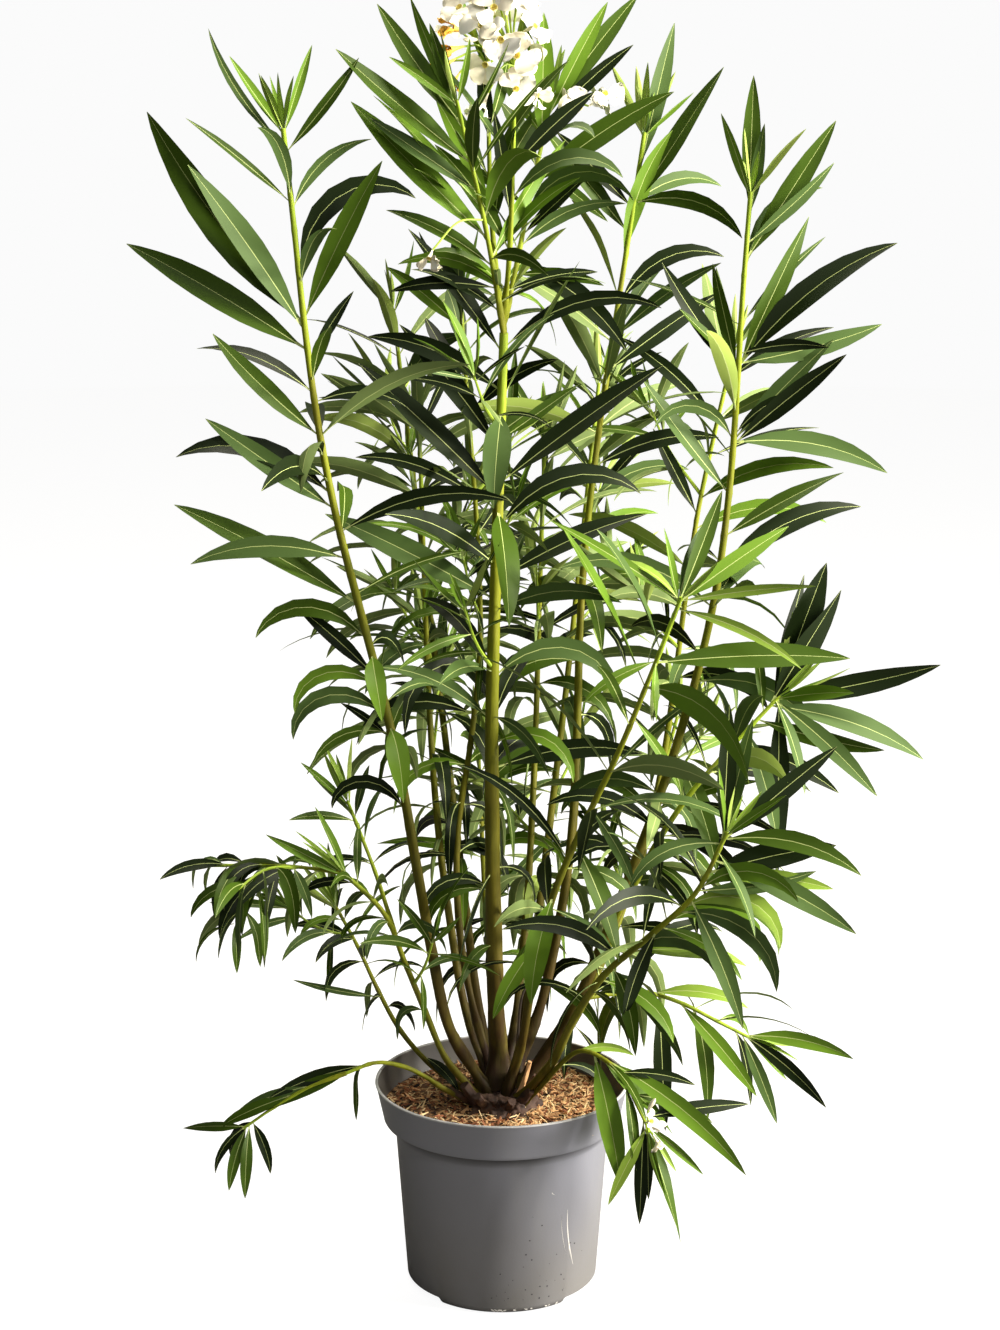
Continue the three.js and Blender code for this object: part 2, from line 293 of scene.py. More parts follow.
# Grey moulded plastic, a little bluish: a warm dusty film low down that also paints warm bounce light from
# the floor, a painted highlight along the lip, a painted shadow under the collar, and a soil stain with
# painted shade on the inside.
def potFinish():
    finish = newFinish("potPlastic", "#85868c", 0.48)
    place = addNode(finish, "TexCoord", {})
    height = addNode(finish, "SeparateXYZ", {"Vector": place.outputs["Object"]}).outputs["Z"]
    # Darker and warmer towards the bottom: partly dust, partly painted warm bounce light from the floor.
    lowFilmAndBounce = remap(finish, height, 0.17, 0.0)
    cloud = addNoise(finish, 9, 5)
    dustAndBounce = addNode(finish, "Math", {0: lowFilmAndBounce, 1: cloud}, operation="MULTIPLY").outputs[0]
    tinted = addMix(finish, dustAndBounce, colour("#82848f"), colour("#706b5d"))
    streaks = addNoise(finish, 24, 3, (1, 1, 0.12))
    streaked = addMix(finish, remap(finish, streaks, 0.56, 0.8, 0.16), tinted, colour("#9a9a98"))
    # A painted highlight: the top of the lip is paled towards light grey.
    paintedLipHighlight = addMix(finish, remap(finish, height, 0.2308, 0.2322, 0.8), streaked, colour("#d8d8d8"))
    # A painted shadow: a dark band on the wall just under the collar.
    collarShadowStops = [(0.176, "#ffffff"), (0.187, "#5c5c5e"), (0.1895, "#505052"), (0.1915, "#ffffff")]
    paintedCollarShadow = addMix(finish, 1.0, paintedLipHighlight, addRamp(finish, height, collarShadowStops), "MULTIPLY")
    # The inner wall is darkened brown: partly a soil stain, partly painted shade.
    facing = addNode(finish, "NewGeometry", {}).outputs
    pair = {0: facing["Normal"], 1: facing["Position"]}
    outward = addNode(finish, "VectorMath", pair, operation="DOT_PRODUCT").outputs["Value"]
    soilAndShade = remap(finish, outward, 0.0, -0.06, 0.75)
    wire(finish, "Base Color", addMix(finish, soilAndShade, paintedCollarShadow, colour("#57503f")))
    wire(finish, "Roughness", remap(finish, cloud, 0.3, 0.7, 0.56, 0.4))
    addBump(finish, addNoise(finish, 420, 2), 0.15 * mm, 0.5)
    return finish


# Bark on a limb: its colour follows the age held in the mesh, brown at the foot and yellow-green at the tip.
def barkFinish():
    finish = newFinish("stemBark", "#6f692f", 0.6, Specular_IOR_Level=0.2)
    age = addNode(finish, "Attribute", {}, attribute_name="age").outputs["Fac"]
    stops = [(0, "#271913"), (0.055, "#382617"), (0.12, "#4d3d12"), (0.28, "#5c5610"), (0.5, "#6b6e12"),
             (0.76, "#878e1c"), (1, "#97b430")]
    ramp = addRamp(finish, age, stops)
    streak = addNoise(finish, 90, 5, (1, 1, 0.08))
    streaked = addMix(finish, remap(finish, streak, 0.45, 0.68, 0.5), ramp, colour("#3b3a12"))
    blotch = addNoise(finish, 30, 5, (1, 1, 0.4))
    blotched = addMix(finish, remap(finish, blotch, 0.5, 0.72, 0.5), streaked, colour("#847c2c"))
    wire(finish, "Base Color", blotched)
    addBump(finish, addNoise(finish, 170, 5, (1, 1, 0.16)), 0.9 * mm, 0.8)
    return finish


def crownFinish():
    finish = newFinish("crownBark", "#463526", 0.75)
    ramp = addRamp(finish, addNoise(finish, 60, 6), [(0.3, "#261913"), (0.55, "#4a3327"), (0.75, "#755d49")])
    wire(finish, "Base Color", ramp)
    addBump(finish, addNoise(finish, 170, 5), 1.2 * mm, 0.8)
    return finish


def compostFinish():
    finish = newFinish("compostBed", "#5b3d22", 0.95)
    stops = [(0.3, "#2c1e13"), (0.46, "#5f432a"), (0.58, "#926b47"), (0.72, "#c79e72")]
    wire(finish, "Base Color", addRamp(finish, addNoise(finish, 210, 8), stops))
    addBump(finish, addNoise(finish, 260, 6), 2 * mm, 1)
    return finish


# A pale floor, whose far side doesn't darken to the eye.
def floorFinish():
    finish = newFinish("floorPale", "#7b7a78", 0.9)
    seen = addNode(finish, "LightPath", {}).outputs["Is Camera Ray"]
    glow = addNode(finish, "Math", {0: seen, 1: 0.94}, operation="MULTIPLY")
    wire(finish, "Emission Strength", glow.outputs[0])
    return finish


finishes = {
    "pot": potFinish(),
    "scuff": newFinish("potScuff", "#d5d3cf", 0.6),
    "speck": newFinish("potSpeck", "#37363a", 0.7),
    "compost": compostFinish(),
    "crown": crownFinish(),
    "bark": barkFinish(),
    "twig": newFinish("greenTwig", "#93ae30", 0.5),
    "deadTwig": newFinish("deadTwig", "#3d3227", 0.8),
    "chipTan": newFinish("chipTan", "#d8a876", 0.9),
    "chipBrown": newFinish("chipBrown", "#8f5a3a", 0.9),
    "chipDark": newFinish("chipDark", "#2b1c13", 0.95),
    "chipStraw": newFinish("chipStraw", "#f3d6a2", 0.85),
    "petal": newFinish("petalCream", "#fdfbf0", 0.5),
    "petalShade": newFinish("petalShade", "#f8f0d8", 0.55),
    "throat": newFinish("petalThroat", "#f6e890", 0.5),
    "faded": newFinish("petalFaded", "#efbd4c", 0.6),
}
leafLook = {"Specular_IOR_Level": 0.16}
leafFinishes = {
    "deep": newFinish("leafDeep", "#132005", 0.5, **leafLook),
    "mid": newFinish("leafMid", "#3a520c", 0.5, **leafLook),
    # A grey-green that is partly the leaf's own cast and partly a painted sheen.
    "greySheen": newFinish("leafGreySheen", "#485f2e", 0.55, **leafLook),
    "fresh": newFinish("leafFresh", "#5f8022", 0.46, **leafLook),
    "young": newFinish("leafYoung", "#829f3b", 0.48, **leafLook),
    "underGrey": newFinish("leafUnderGrey", "#75894e", 0.6, **leafLook),
    "underFresh": newFinish("leafUnderFresh", "#93a84f", 0.55, **leafLook),
    "rib": newFinish("leafRib", "#b3c07a", 0.5, **leafLook),
}
print("finishes made")


# ---- camera, light and floor ----
view = {"eye": (-0.002, -2.8, 1.319), "tilt": 77.6, "focal": 2671, "height": 1330, "sensor": 36}


def addCamera():
    lens = bpy.data.cameras.new("camera")
    lens.sensor_width = view["sensor"]
    lens.lens = view["sensor"] * view["focal"] / view["height"]
    camera = bpy.data.objects.new("camera", lens)
    camera.location = view["eye"]
    camera.rotation_euler = (math.radians(view["tilt"]), 0, 0)
    bpy.context.scene.collection.objects.link(camera)
    bpy.context.scene.camera = camera


lightsAim = (0, 0, 0.7)
lights = {
    "key": {"at": (2.4, -0.85, 2.7), "size": 0.6, "power": 190, "tint": "#fff7e6"},
    "side": {"at": (2.8, -0.65, 1.05), "size": 0.7, "power": 165, "tint": "#fff9ef"},
    "fill": {"at": (0.1, -2.8, 3.0), "size": 0.9, "power": 28, "tint": "#fdfaf4"},
    "top": {"at": (-0.3, 0.9, 3.4), "size": 1.4, "power": 80, "tint": "#fff8e6"},
}


def addLights():
    for name, spec in lights.items():
        lamp = bpy.data.lights.new(name, "AREA")
        lamp.size = spec["size"]
        lamp.energy = spec["power"]
        lamp.color = colour(spec["tint"])[:3]
        holder = bpy.data.objects.new(name, lamp)
        holder.location = spec["at"]
        aim = Vector(lightsAim) - Vector(spec["at"])
        holder.rotation_euler = aim.to_track_quat("-Z", "Y").to_euler()
        bpy.context.scene.collection.objects.link(holder)


studio = {"tint": "#f8f7f2", "strength": 0.045, "seen": 0.965, "floorRadius": 9}


# The studio behind is white; it lights the plant less than it shows.
def addStudio():
    world = bpy.data.worlds.new("studio")
    world.use_nodes = True
    bpy.context.scene.world = world
    tree = world.node_tree
    soft = tree.nodes["Background"]
    soft.inputs["Color"].default_value = colour(studio["tint"])
    soft.inputs["Strength"].default_value = studio["strength"]
    white = tree.nodes.new("ShaderNodeBackground")
    white.inputs["Color"].default_value = [studio["seen"]] * 3 + [1]
    path = tree.nodes.new("ShaderNodeLightPath")
    mix = tree.nodes.new("ShaderNodeMixShader")
    tree.links.new(path.outputs["Is Camera Ray"], mix.inputs[0])
    tree.links.new(soft.outputs[0], mix.inputs[1])
    tree.links.new(white.outputs[0], mix.inputs[2])
    tree.links.new(mix.outputs[0], tree.nodes["World Output"].inputs[0])
    bpy.context.scene.view_settings.view_transform = "Standard"
    deselectAll()
    bpy.ops.mesh.primitive_circle_add(vertices=96, radius=studio["floorRadius"], fill_type="NGON")
    floor = bpy.context.object
    floor.name = "floor"
    floor.data.materials.append(floorFinish())


addCamera()
addLights()
addStudio()
print("camera, light and floor set")


# ---- pot ----
pot = {
    "sides": 128,
    # the outer wall from the underside up to the lip: radius and height in mm
    "outer": [(96, 0), (99.5, 0.6), (102.5, 2.6), (104.8, 5.4), (106, 9), (119, 188.5), (119.6, 190),
              (129, 190), (130.6, 190.5), (131.4, 191.9), (131.8, 194), (139.3, 229), (140, 230.2),
              (140.6, 231.6), (140.3, 232.7), (139.4, 233)],
    # the inner wall from the lip down to the floor
    "inner": [(137.9, 232.9), (137.4, 232.2), (137.2, 231), (129.4, 196), (128.4, 194.6), (117.6, 193.4),
              (116.6, 191.5), (103.9, 16), (102, 12.4), (98, 10.6), (60, 10.4)],
    "notchBearings": (90, 210, 330),
    "notch": {"span": 72, "height": 9, "deep": 44, "soft": 3, "out": 12},  # out: from the flat foot's edge
}


def makePot():
    deselectAll()
    radius, height = pot["outer"][0]
    bpy.ops.mesh.primitive_circle_add(vertices=pot["sides"], radius=radius * mm, fill_type="NGON")
    piece = bpy.context.object
    piece.name = "pot_shell"
    editAll()
    for nextRadius, nextHeight in pot["outer"][1:] + pot["inner"]:
        rise = (nextHeight - height) * mm
        bpy.ops.mesh.extrude_region_move(TRANSFORM_OT_translate={"value": (0, 0, rise)})
        widen = nextRadius / radius
        bpy.ops.transform.resize(value=(widen, widen, 1), center_override=(0, 0, 0))
        radius, height = nextRadius, nextHeight
    turnOutward()
    for bearing in pot["notchBearings"]:
        cutNotch(piece, bearing)
    dress(piece, finishes["pot"], 30)
    return piece


# A drain notch: a soft-cornered block taken out of the lower edge.
def cutNotch(piece, bearing):
    spec = pot["notch"]
    deselectAll()
    away = heading(bearing, 0) * (pot["outer"][0][0] + spec["out"]) * mm
    bpy.ops.mesh.primitive_cube_add(size=1, location=away, rotation=(0, 0, math.radians(bearing)))
    block = bpy.context.object
    block.scale = (spec["deep"] * mm, spec["span"] * mm, 2 * spec["height"] * mm)
    bpy.ops.object.transform_apply(location=True, rotation=True, scale=True)
    applyModifier(block, "BEVEL", width=spec["soft"] * mm, segments=4, limit_method="ANGLE")
    applyModifier(piece, "BOOLEAN", operation="DIFFERENCE", object=block, solver="EXACT")
    bpy.data.objects.remove(block)


# Pale scratches low on the right of the wall, a few nicks along its foot, and dark specks of earth.
scuffs = {
    # bearing, top, foot, sweep and width
    "scratches": [
        (-51, 116, 46, 7, 1.5), (-55, 112, 62, 5, 0.5), (-49, 84, 58, 2, 0.6), (-62, 142, 138, 2, 0.9),
    ],
    "steps": 14,
    "proud": 0.12,
    "nicks": {"count": 16, "bearings": (-97, -55), "half": (0.9, 2.6), "tall": (0.5, 0.8),
              "slants": (-0.55, -0.2, 0.5), "sunk": 0.6, "proud": 0.5},
    "specks": {"count": 34, "bearing": (-66, 14), "heights": (12, 20, 120), "size": (0.35, 1.1), "sides": 6,
               "squash": 0.8, "sunk": 0.2, "proud": 0.15},
}


def wallPoint(bearing, height):
    foot, top = pot["outer"][4], pot["outer"][5]
    share = (height - foot[1]) / (top[1] - foot[1])
    radius = foot[0] + share * (top[0] - foot[0]) + scuffs["proud"] / 2
    return heading(bearing, 0) * radius * mm + level(height * mm)


# A thin plate on the wall, from its outline, the way out, and how deep it sits and how proud it stands.
def plate(ring, out, spec):
    return skin(np.array([ring - out * spec["sunk"] * mm, ring + out * spec["proud"] * mm]))


def makeScuffs():
    rng = np.random.default_rng(11)
    pale, dark = Gathered(), Gathered()
    thick = scuffs["proud"] * mm
    for bearing, top, foot, sweep, width in scuffs["scratches"]:
        loops = []
        for share in np.linspace(0, 1, scuffs["steps"]):
            turn = bearing + sweep * share**2
            spot = wallPoint(turn, top + (foot - top) * share)
            out, side = heading(turn, 0), heading(turn + 90, 0)
            half = width * mm / 2 * math.sin(math.pi * (0.06 + 0.88 * share))
            loops.append([spot - side * half, spot - out * thick, spot + side * half, spot + out * thick])
        pale.add(*skin(np.array(loops)), 0)
    nicks, specks = scuffs["nicks"], scuffs["specks"]
    radius, height = pot["outer"][3]
    for _ in range(nicks["count"]):
        turn = rng.uniform(*nicks["bearings"])
        half = rng.uniform(*nicks["half"]) * mm
        out, side = heading(turn, 0), heading(turn + 90, 0)
        spot = out * radius * mm + level(height * mm)
        tall = level(rng.uniform(*nicks["tall"]) * mm)
        reach = side * half + level(rng.choice(nicks["slants"]) * half)
        pale.add(*plate(np.array([spot - reach, spot - tall, spot + reach, spot + tall]), out, nicks), 0)
    for _ in range(specks["count"]):
        turn, height = rng.normal(*specks["bearing"]), rng.triangular(*specks["heights"])
        size = rng.uniform(*specks["size"]) * mm
        out, side = heading(turn, 0), heading(turn + 90, 0)
        spot = wallPoint(turn, height)
        tall = level(specks["squash"])
        ring = [spot + size * (math.cos(a) * side + math.sin(a) * tall) for a in turnsRound(specks["sides"])]
        dark.add(*plate(np.array(ring), out, specks), 0)
    return pale.piece("pot_scuffs", [finishes["scuff"]]), dark.piece("pot_specks", [finishes["speck"]])


shell = makePot()
settle(shell, "pot", "pot")
for mark in makeScuffs():
    settle(mark, "pot")
print("pot made")


# ---- compost ----
bed = {
    "radius": 130.9,
    "level": 203.5,
    "thick": 9,
    "sides": 120,
    "rings": 26,
    "relief": ((22, 3.5), (120, 2.2), (260, 1.32)),  # noise scale and height: the heap, then its roughness
    "edge": 8,
    "paintedSunSide": (12, 30),  # painted sunlight: how far right of the middle the pale chips start to gather, and how fast
}
flakeShape = {"tip": 0.35, "roll": 0.5, "cant": 0.4, "bend": 0.25, "foot": (0.4, 0.8), "waist": 0.3,
              "head": (0.3, 0.7), "stray": 0.12}
litter = {
    # how many, length, width, thickness, and how much of it is moved to the right as painted sunlight (to the
    # left, as painted shade, when below zero)
    "chipTan": (900, (5, 14), (1.8, 5), (0.7, 1.9), 0.4),
    "chipBrown": (640, (5, 16), (1.4, 4), (0.8, 2), 0),
    "chipDark": (300, (4, 11), (1.6, 4.4), (0.8, 2), -0.8),
    "chipStraw": (760, (6, 22), (0.9, 2.4), (0.5, 1.1), 0.75),
}


def bedHeight(x, y):
    spot = Vector((x, y, 0.3))
    edge = min(1, (bed["radius"] * mm - math.hypot(x, y)) / (bed["edge"] * mm))
    return (bed["level"] + relief(spot, bed["relief"]) * edge) * mm


# A thick round cake with rings on top, its upper corners then moved to the height of the heap.
def makeBed():
    deselectAll()
    foot = (bed["level"] - bed["thick"]) * mm
    size = {"vertices": bed["sides"], "radius": bed["radius"] * mm}
    bpy.ops.mesh.primitive_circle_add(fill_type="NGON", location=(0, 0, foot), **size)
    piece = bpy.context.object
    piece.name = "compost_bed"
    bpy.ops.object.transform_apply(location=True)
    editAll()
    bpy.ops.mesh.extrude_region_move(TRANSFORM_OT_translate={"value": (0, 0, bed["thick"] * mm)})
    for _ in range(bed["rings"]):
        bpy.ops.mesh.inset(thickness=bed["radius"] / (bed["rings"] + 1) * mm)
    bpy.ops.object.mode_set(mode="OBJECT")
    for corner in piece.data.vertices:
        if corner.co.z > foot + 1 * mm:
            corner.co.z = bedHeight(corner.co.x, corner.co.y)
    editAll()
    turnOutward()
    dress(piece, finishes["compost"], 60)
    return piece


# One flake of bark or straw: a bent, pinched bar of three rings.
def flake(rng, size, spot):
    long, wide, thick = (v / 2 * mm for v in size)
    turn, tip = rng.uniform(0, 2 * math.pi), rng.normal(0, flakeShape["tip"])
    ahead = np.array([math.cos(turn) * math.cos(tip), math.sin(turn) * math.cos(tip), math.sin(tip)])
    side = unit(np.cross(ahead, [0, 0, 1])) * math.cos(rng.normal(0, flakeShape["roll"]))
    side = unit(side + level(rng.normal(0, flakeShape["cant"])))
    up = np.cross(side, ahead)
    bend = rng.uniform(-flakeShape["bend"], flakeShape["bend"]) * long
    foot = (-1, rng.uniform(*flakeShape["foot"]))
    waist = (rng.uniform(-flakeShape["waist"], flakeShape["waist"]), 1)
    head = (1, rng.uniform(*flakeShape["head"]))
    loops = []
    for place, girth in (foot, waist, head):
        stray = side * rng.normal(0, flakeShape["stray"]) * wide
        middle = spot + ahead * long * place + up * bend * (1 - place**2) + stray
        half = side * wide * girth
        loops.append([middle - half, middle - up * thick, middle + half, middle + up * thick])
    return skin(np.array(loops))


def makeLitter(kind, seed):
    rng = np.random.default_rng(seed)
    count, lengths, widths, depths, bias = litter[kind]
    heap = Gathered()
    start, fade = bed["paintedSunSide"]
    for _ in range(count):
        out = bed["radius"] * math.sqrt(rng.uniform(0.02, 0.93)) * mm
        turn = rng.uniform(0, 2 * math.pi)
        x, y = out * math.cos(turn), out * math.sin(turn)
        # Pale chips are moved to the right and dark ones to the left: painted sunlight and shade.
        wrongSide = -bias * math.tanh((x / mm - start) / fade)
        for _ in range(2):
            if rng.random() < wrongSide:
                x = -x
        size = (rng.uniform(*lengths), rng.uniform(*widths), rng.uniform(*depths))
        spot = np.array([x, y, bedHeight(x, y) + rng.uniform(0.2, 2.2) * mm])
        heap.add(*flake(rng, size, spot), 0)
    return heap.piece("compost_" + kind, [finishes[kind]], 25)


settle(makeBed(), "compost", "compost")
for seed, kind in enumerate(litter):
    settle(makeLitter(kind, seed + 20), "compost", "compost")
print("compost made")


# ---- root crown ----
crown = {
    "smooth": 3,
    "height": 0.6,
    "breadth": 0.78,
    "forward": 10,
    "relief": ((52, 10), (170, 4.5)),  # noise scale and height of the knots, and of the ridges
    "sink": 6,
}


def makeCrown():
    deselectAll()
    source = nodes["root_crown"]
    piece = source.copy()
    piece.data = source.data.copy()
    piece.parent = None
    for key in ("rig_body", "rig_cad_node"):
        del piece[key]
    piece.name = "root_crown_wood"
    bpy.context.scene.collection.objects.link(piece)
    makeActive(piece)
    editAll()
    bpy.ops.mesh.remove_doubles(threshold=0.1 * mm)
    bpy.ops.object.mode_set(mode="OBJECT")
    applyModifier(piece, "SUBSURF", levels=crown["smooth"], render_levels=crown["smooth"])
    low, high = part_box("root_crown")
    for corner in piece.data.vertices:
        spot = corner.co.copy()
        lift = (spot.z - low.z) / (high.z - low.z)
        knot = relief(spot, crown["relief"])
        away = Vector((spot.x, spot.y, 0.5 * (spot.z - low.z))).normalized()
        spot.x *= crown["breadth"]
        spot.y = spot.y * crown["breadth"] - crown["forward"] * mm
        spot.z = low.z + (spot.z - low.z) * crown["height"]
        corner.co = spot + away * knot * mm - Vector((0, 0, (1 - lift) * crown["sink"] * mm))
    dress(piece, finishes["crown"], 60)
    return piece


settle(makeCrown(), "bark", "root_crown")
print("root crown made")


# ---- limbs ----
# Each limb of the frame is a straight-sided tube, whose rings of corners stand on the limb's middle line.
limb = {
    "sides": 14,
    "ringStep": 5,
    "frameSides": 5,
    "near": 16,  # corners closer than this are on one ring
    "flare": 1.7,
    "swell": 1.15,
    "collar": 0.3,  # where the flare ends, as a share of the way to the frame's first ring
    "gnarl": 0.2,  # how far the foot's bark swells and pinches, fading over the next length
    "gnarlFade": 55,
    "nodeStart": 24,
    "nodeGap": (58, 40),
    "nodeSwell": 0.55,
    "nodeHalf": 3.2,
    "nodeEnd": 6,
    "ridge": 0.05,
    "ridges": ((3, 55, 1), (5, -31, 0.6)),  # ridges round the limb, pitch along it and weight
    "youngest": 1.15,  # the age at which the ridges have faded
    "inward": 0.4,  # where the foot ends, as a share of its way out from the middle of the crown
    "sunk": 12,  # and how far under the foot of the frame's stem
}


def ringsOf(name):
    mesh = nodes[name].data
    corners = np.zeros(len(mesh.vertices) * 3, np.float32)
    mesh.vertices.foreach_get("co", corners)
    left = np.unique(np.round(corners.reshape(-1, 3).astype(float), 5), axis=0)
    rings = []
    while len(left):
        ring, left = left[:1], left[1:]
        while len(left):
            gaps = np.linalg.norm(left[:, None] - ring[None], axis=2).min(axis=1)
            near = gaps < limb["near"] * mm
            if not near.any():
                break
            ring, left = np.vstack([ring, left[near]]), left[~near]
        centre = ring.mean(axis=0)
        radius = np.linalg.norm(ring - centre, axis=1).sum() / min(len(ring), limb["frameSides"])
        rings.append({"corners": len(ring), "centre": centre, "radius": radius})
    return rings


# A smooth line through the points, with its radius and its length so far at every step.
def smoothLine(points, radii, step=4):
    points, radii = np.array(points), np.array(radii)
    knots = np.append(0, np.cumsum(np.linalg.norm(np.diff(points, axis=0), axis=1) ** 0.5))
    slopes = np.gradient(points, knots, axis=0)
    count = max(6, int(np.linalg.norm(np.diff(points, axis=0), axis=1).sum() / (step * mm)))
    fine = np.linspace(0, knots[-1], count)
    i = np.clip(np.searchsorted(knots, fine, side="right") - 1, 0, len(knots) - 2)
    gap = (knots[i + 1] - knots[i])[:, None]
    s = (fine[:, None] - knots[i][:, None]) / gap
    curve = (2 * s**3 - 3 * s**2 + 1) * points[i] + (s**3 - 2 * s**2 + s) * gap * slopes[i]
    curve += (3 * s**2 - 2 * s**3) * points[i + 1] + (s**3 - s**2) * gap * slopes[i + 1]
    so = np.append(0, np.cumsum(np.linalg.norm(np.diff(curve, axis=0), axis=1)))
    return {"points": curve, "radii": np.interp(fine, knots, radii), "so": so, "length": so[-1]}


# The point, direction and radius at a share of a line's length.
def spotOn(line, share):
    far = share * line["length"]
    behind, point, ahead = (
        np.array([np.interp(far + step * mm, line["so"], line["points"][:, k]) for k in range(3)])
        for step in (-3, 0, 3)
    )
    return point, unit(ahead - behind), float(np.interp(far, line["so"], line["radii"]))


# The limb's middle line, from where it leaves the crown or its parent limb to its tip.
def middleLine(name):
    rings = ringsOf(name)
    isStem = name.startswith("stem")
    foot = min(rings, key=lambda r: r["centre"][2]) if isStem else max(rings, key=lambda r: r["corners"])
    left = [r for r in rings if r is not foot and r["corners"] <= limb["frameSides"] + 1]
    walk = [foot]
    while left:
        nearest = min(left, key=lambda r: np.linalg.norm(r["centre"] - walk[-1]["centre"]))
        walk.append(nearest)
        left = [r for r in left if r is not nearest]
    points, radii = [r["centre"] for r in walk[1:]], [r["radius"] for r in walk[1:]]
    if isStem:
        inward = np.array([limb["inward"], limb["inward"], 1])
        start = foot["centre"] * inward - level(limb["sunk"] * mm)
        collar = start + (points[0] - start) * limb["collar"]
        girths = [radii[0] * limb["flare"], radii[0] * limb["swell"]]
        return smoothLine([start, collar] + points, girths + radii)
    near = [min(line["points"], key=lambda p: np.linalg.norm(p - foot["centre"])) for line in lines.values()]
    start = min(near, key=lambda p: np.linalg.norm(p - foot["centre"]))
    return smoothLine([start] + points, [radii[0] * limb["swell"]] + radii)


# A round skin along a line; radii are one a row, or one for each corner of each row.
def tube(points, radii, sides):
    ahead = np.gradient(points, axis=0)
    ahead /= np.linalg.norm(ahead, axis=1)[:, None]
    across = carried(squareTo(ahead[0])[0], ahead)
    other = np.cross(ahead, across)
    turns = turnsRound(sides)
    ring = across[:, None] * np.cos(turns)[None, :, None] + other[:, None] * np.sin(turns)[None, :, None]
    radii = np.asarray(radii)
    radii = radii[:, None] if radii.ndim == 1 else radii
    return skin(points[:, None] + ring * radii[..., None])


# A limb with leaf scars at its nodes and ridged bark at its foot; its age runs from the foot's to the tip's.
def makeLimb(name, line, ages, seed):
    rng = np.random.default_rng(seed)
    rows = max(10, int(line["length"] / (limb["ringStep"] * mm)))
    shares = np.linspace(0, 1, rows)
    points = np.array([spotOn(line, s)[0] for s in shares])
    radii = np.array([spotOn(line, s)[2] for s in shares])[:, None]
    age = np.interp(shares, (0, 1), ages)[:, None]
    turns = turnsRound(limb["sides"])[None]
    far = (shares * line["length"] / mm)[:, None]
    ridge = 0.5 * np.sin(far / 23 + 2 * turns)
    for count, pitch, weight in limb["ridges"]:
        ridge += weight * np.sin(count * turns + far / pitch + rng.uniform(0, 6))
    gnarl = limb["gnarl"] * np.exp(-far / limb["gnarlFade"])
    pinch = np.sin(2 * turns + far / 14 + rng.uniform(0, 6)) + np.sin(far / 9)
    radii = radii * (1 + limb["ridge"] * (limb["youngest"] - age) * ridge + gnarl * pinch)
    node, turn, end = limb["nodeStart"], rng.uniform(0, 6), far[-1, 0]
    while node < end - limb["nodeEnd"]:
        ring = np.exp(-(((far - node) / limb["nodeHalf"]) ** 2))
        scar = 0.55 + 0.45 * np.cos(3 * (turns - turn))
        radii += ring * scar * limb["nodeSwell"] * mm
        node += along(limb["nodeGap"], node / end) * rng.uniform(0.8, 1.2)
        turn += math.pi / 3
    corners, faces = tube(points, radii, limb["sides"])
    piece = meshFrom(name + "_wood", corners, faces, [finishes["bark"]])
    held = piece.data.attributes.new("age", "FLOAT", "POINT")
    held.data.foreach_set("value", np.repeat(age, limb["sides"]).astype(np.float32))
    smoothShade(piece, 60)
    return piece


stemNames = sorted(name for name in nodes if name.startswith("stem_"))
boughNames = sorted(name for name in nodes if name.startswith("bough_"))
lines = {}
for name in stemNames + boughNames:
    lines[name] = middleLine(name)
# The bark's age at a limb's foot and at its tip.
barkAges = {"tall": (0, 1), "short": (0.15, 0.92), "bough": (0.74, 1)}
for seed, name in enumerate(stemNames):
    kind = "tall" if lines[name]["length"] > 0.55 else "short"
    settle(makeLimb(name, lines[name], barkAges[kind], seed), "bark", name)
for seed, name in enumerate(boughNames):
    settle(makeLimb(name, lines[name], barkAges["bough"], seed + 40), "shoot", name)
print("limbs made:", len(lines))

# Short cut stubs on the crown, by bearing, rise, length and radius, and one dead twig, by its points.
stubs = {
    "cuts": [(-152, 30, 52, 6), (-128, 24, 44, 5), (-104, 30, 38, 4.4), (-74, 26, 40, 5), (-42, 36, 48, 5.4),
             (-18, 46, 52, 4), (172, 34, 50, 4.6), (20, 60, 56, 3.2), (-170, 20, 60, 4)],
    "peeled": [(-30, 58, 66, 2.6), (8, 48, 50, 2.2)],
    "deadTwig": [(10, 14, 206), (17, 18, 262), (22, 24, 318), (34, 26, 352), (36, 30, 388)],
    "deadRadii": (1.7, 1.5, 1.3, 1.0, 0.6),
    "out": 8,
    "bend": (0.1, 0.3),
    "taper": (1.5, 1.1, 0.9),
    "knobs": (0.14, 2.1, 0.9),  # height as a share of the radius, then the steps round and along
    "sides": (9, 6),
}


def makeStubs():
    rng = np.random.default_rng(5)
    wood = Gathered()
    kinds = [(cut, 0) for cut in stubs["cuts"]] + [(cut, 2) for cut in stubs["peeled"]]
    tall, aroundStep, alongStep = stubs["knobs"]
    sides, twigSides = stubs["sides"]
    for (bearing, rise, long, girth), finish in kinds:
        ahead = heading(bearing, rise)
        middle = np.array([0, -crown["forward"], bed["level"]]) * mm
        start = middle + heading(bearing, 0) * stubs["out"] * mm
        bend = level(rng.uniform(*stubs["bend"]))
        points = [start, start + ahead * long / 2 * mm, start + unit(ahead + bend) * long * mm]
        line = smoothLine(points, np.array(stubs["taper"]) * girth * mm)
        rows = np.arange(len(line["points"]))[:, None]
        swell = 1 + tall * np.sin(np.arange(sides)[None] * aroundStep + rows * alongStep)
        wood.add(*tube(line["points"], line["radii"][:, None] * swell, sides), finish)
    line = smoothLine(np.array(stubs["deadTwig"]) * mm, np.array(stubs["deadRadii"]) * mm)
    wood.add(*tube(line["points"], line["radii"], twigSides), 1)
    return wood.piece("crown_stubs", [finishes["crown"], finishes["deadTwig"], finishes["chipTan"]])


settle(makeStubs(), "bark")


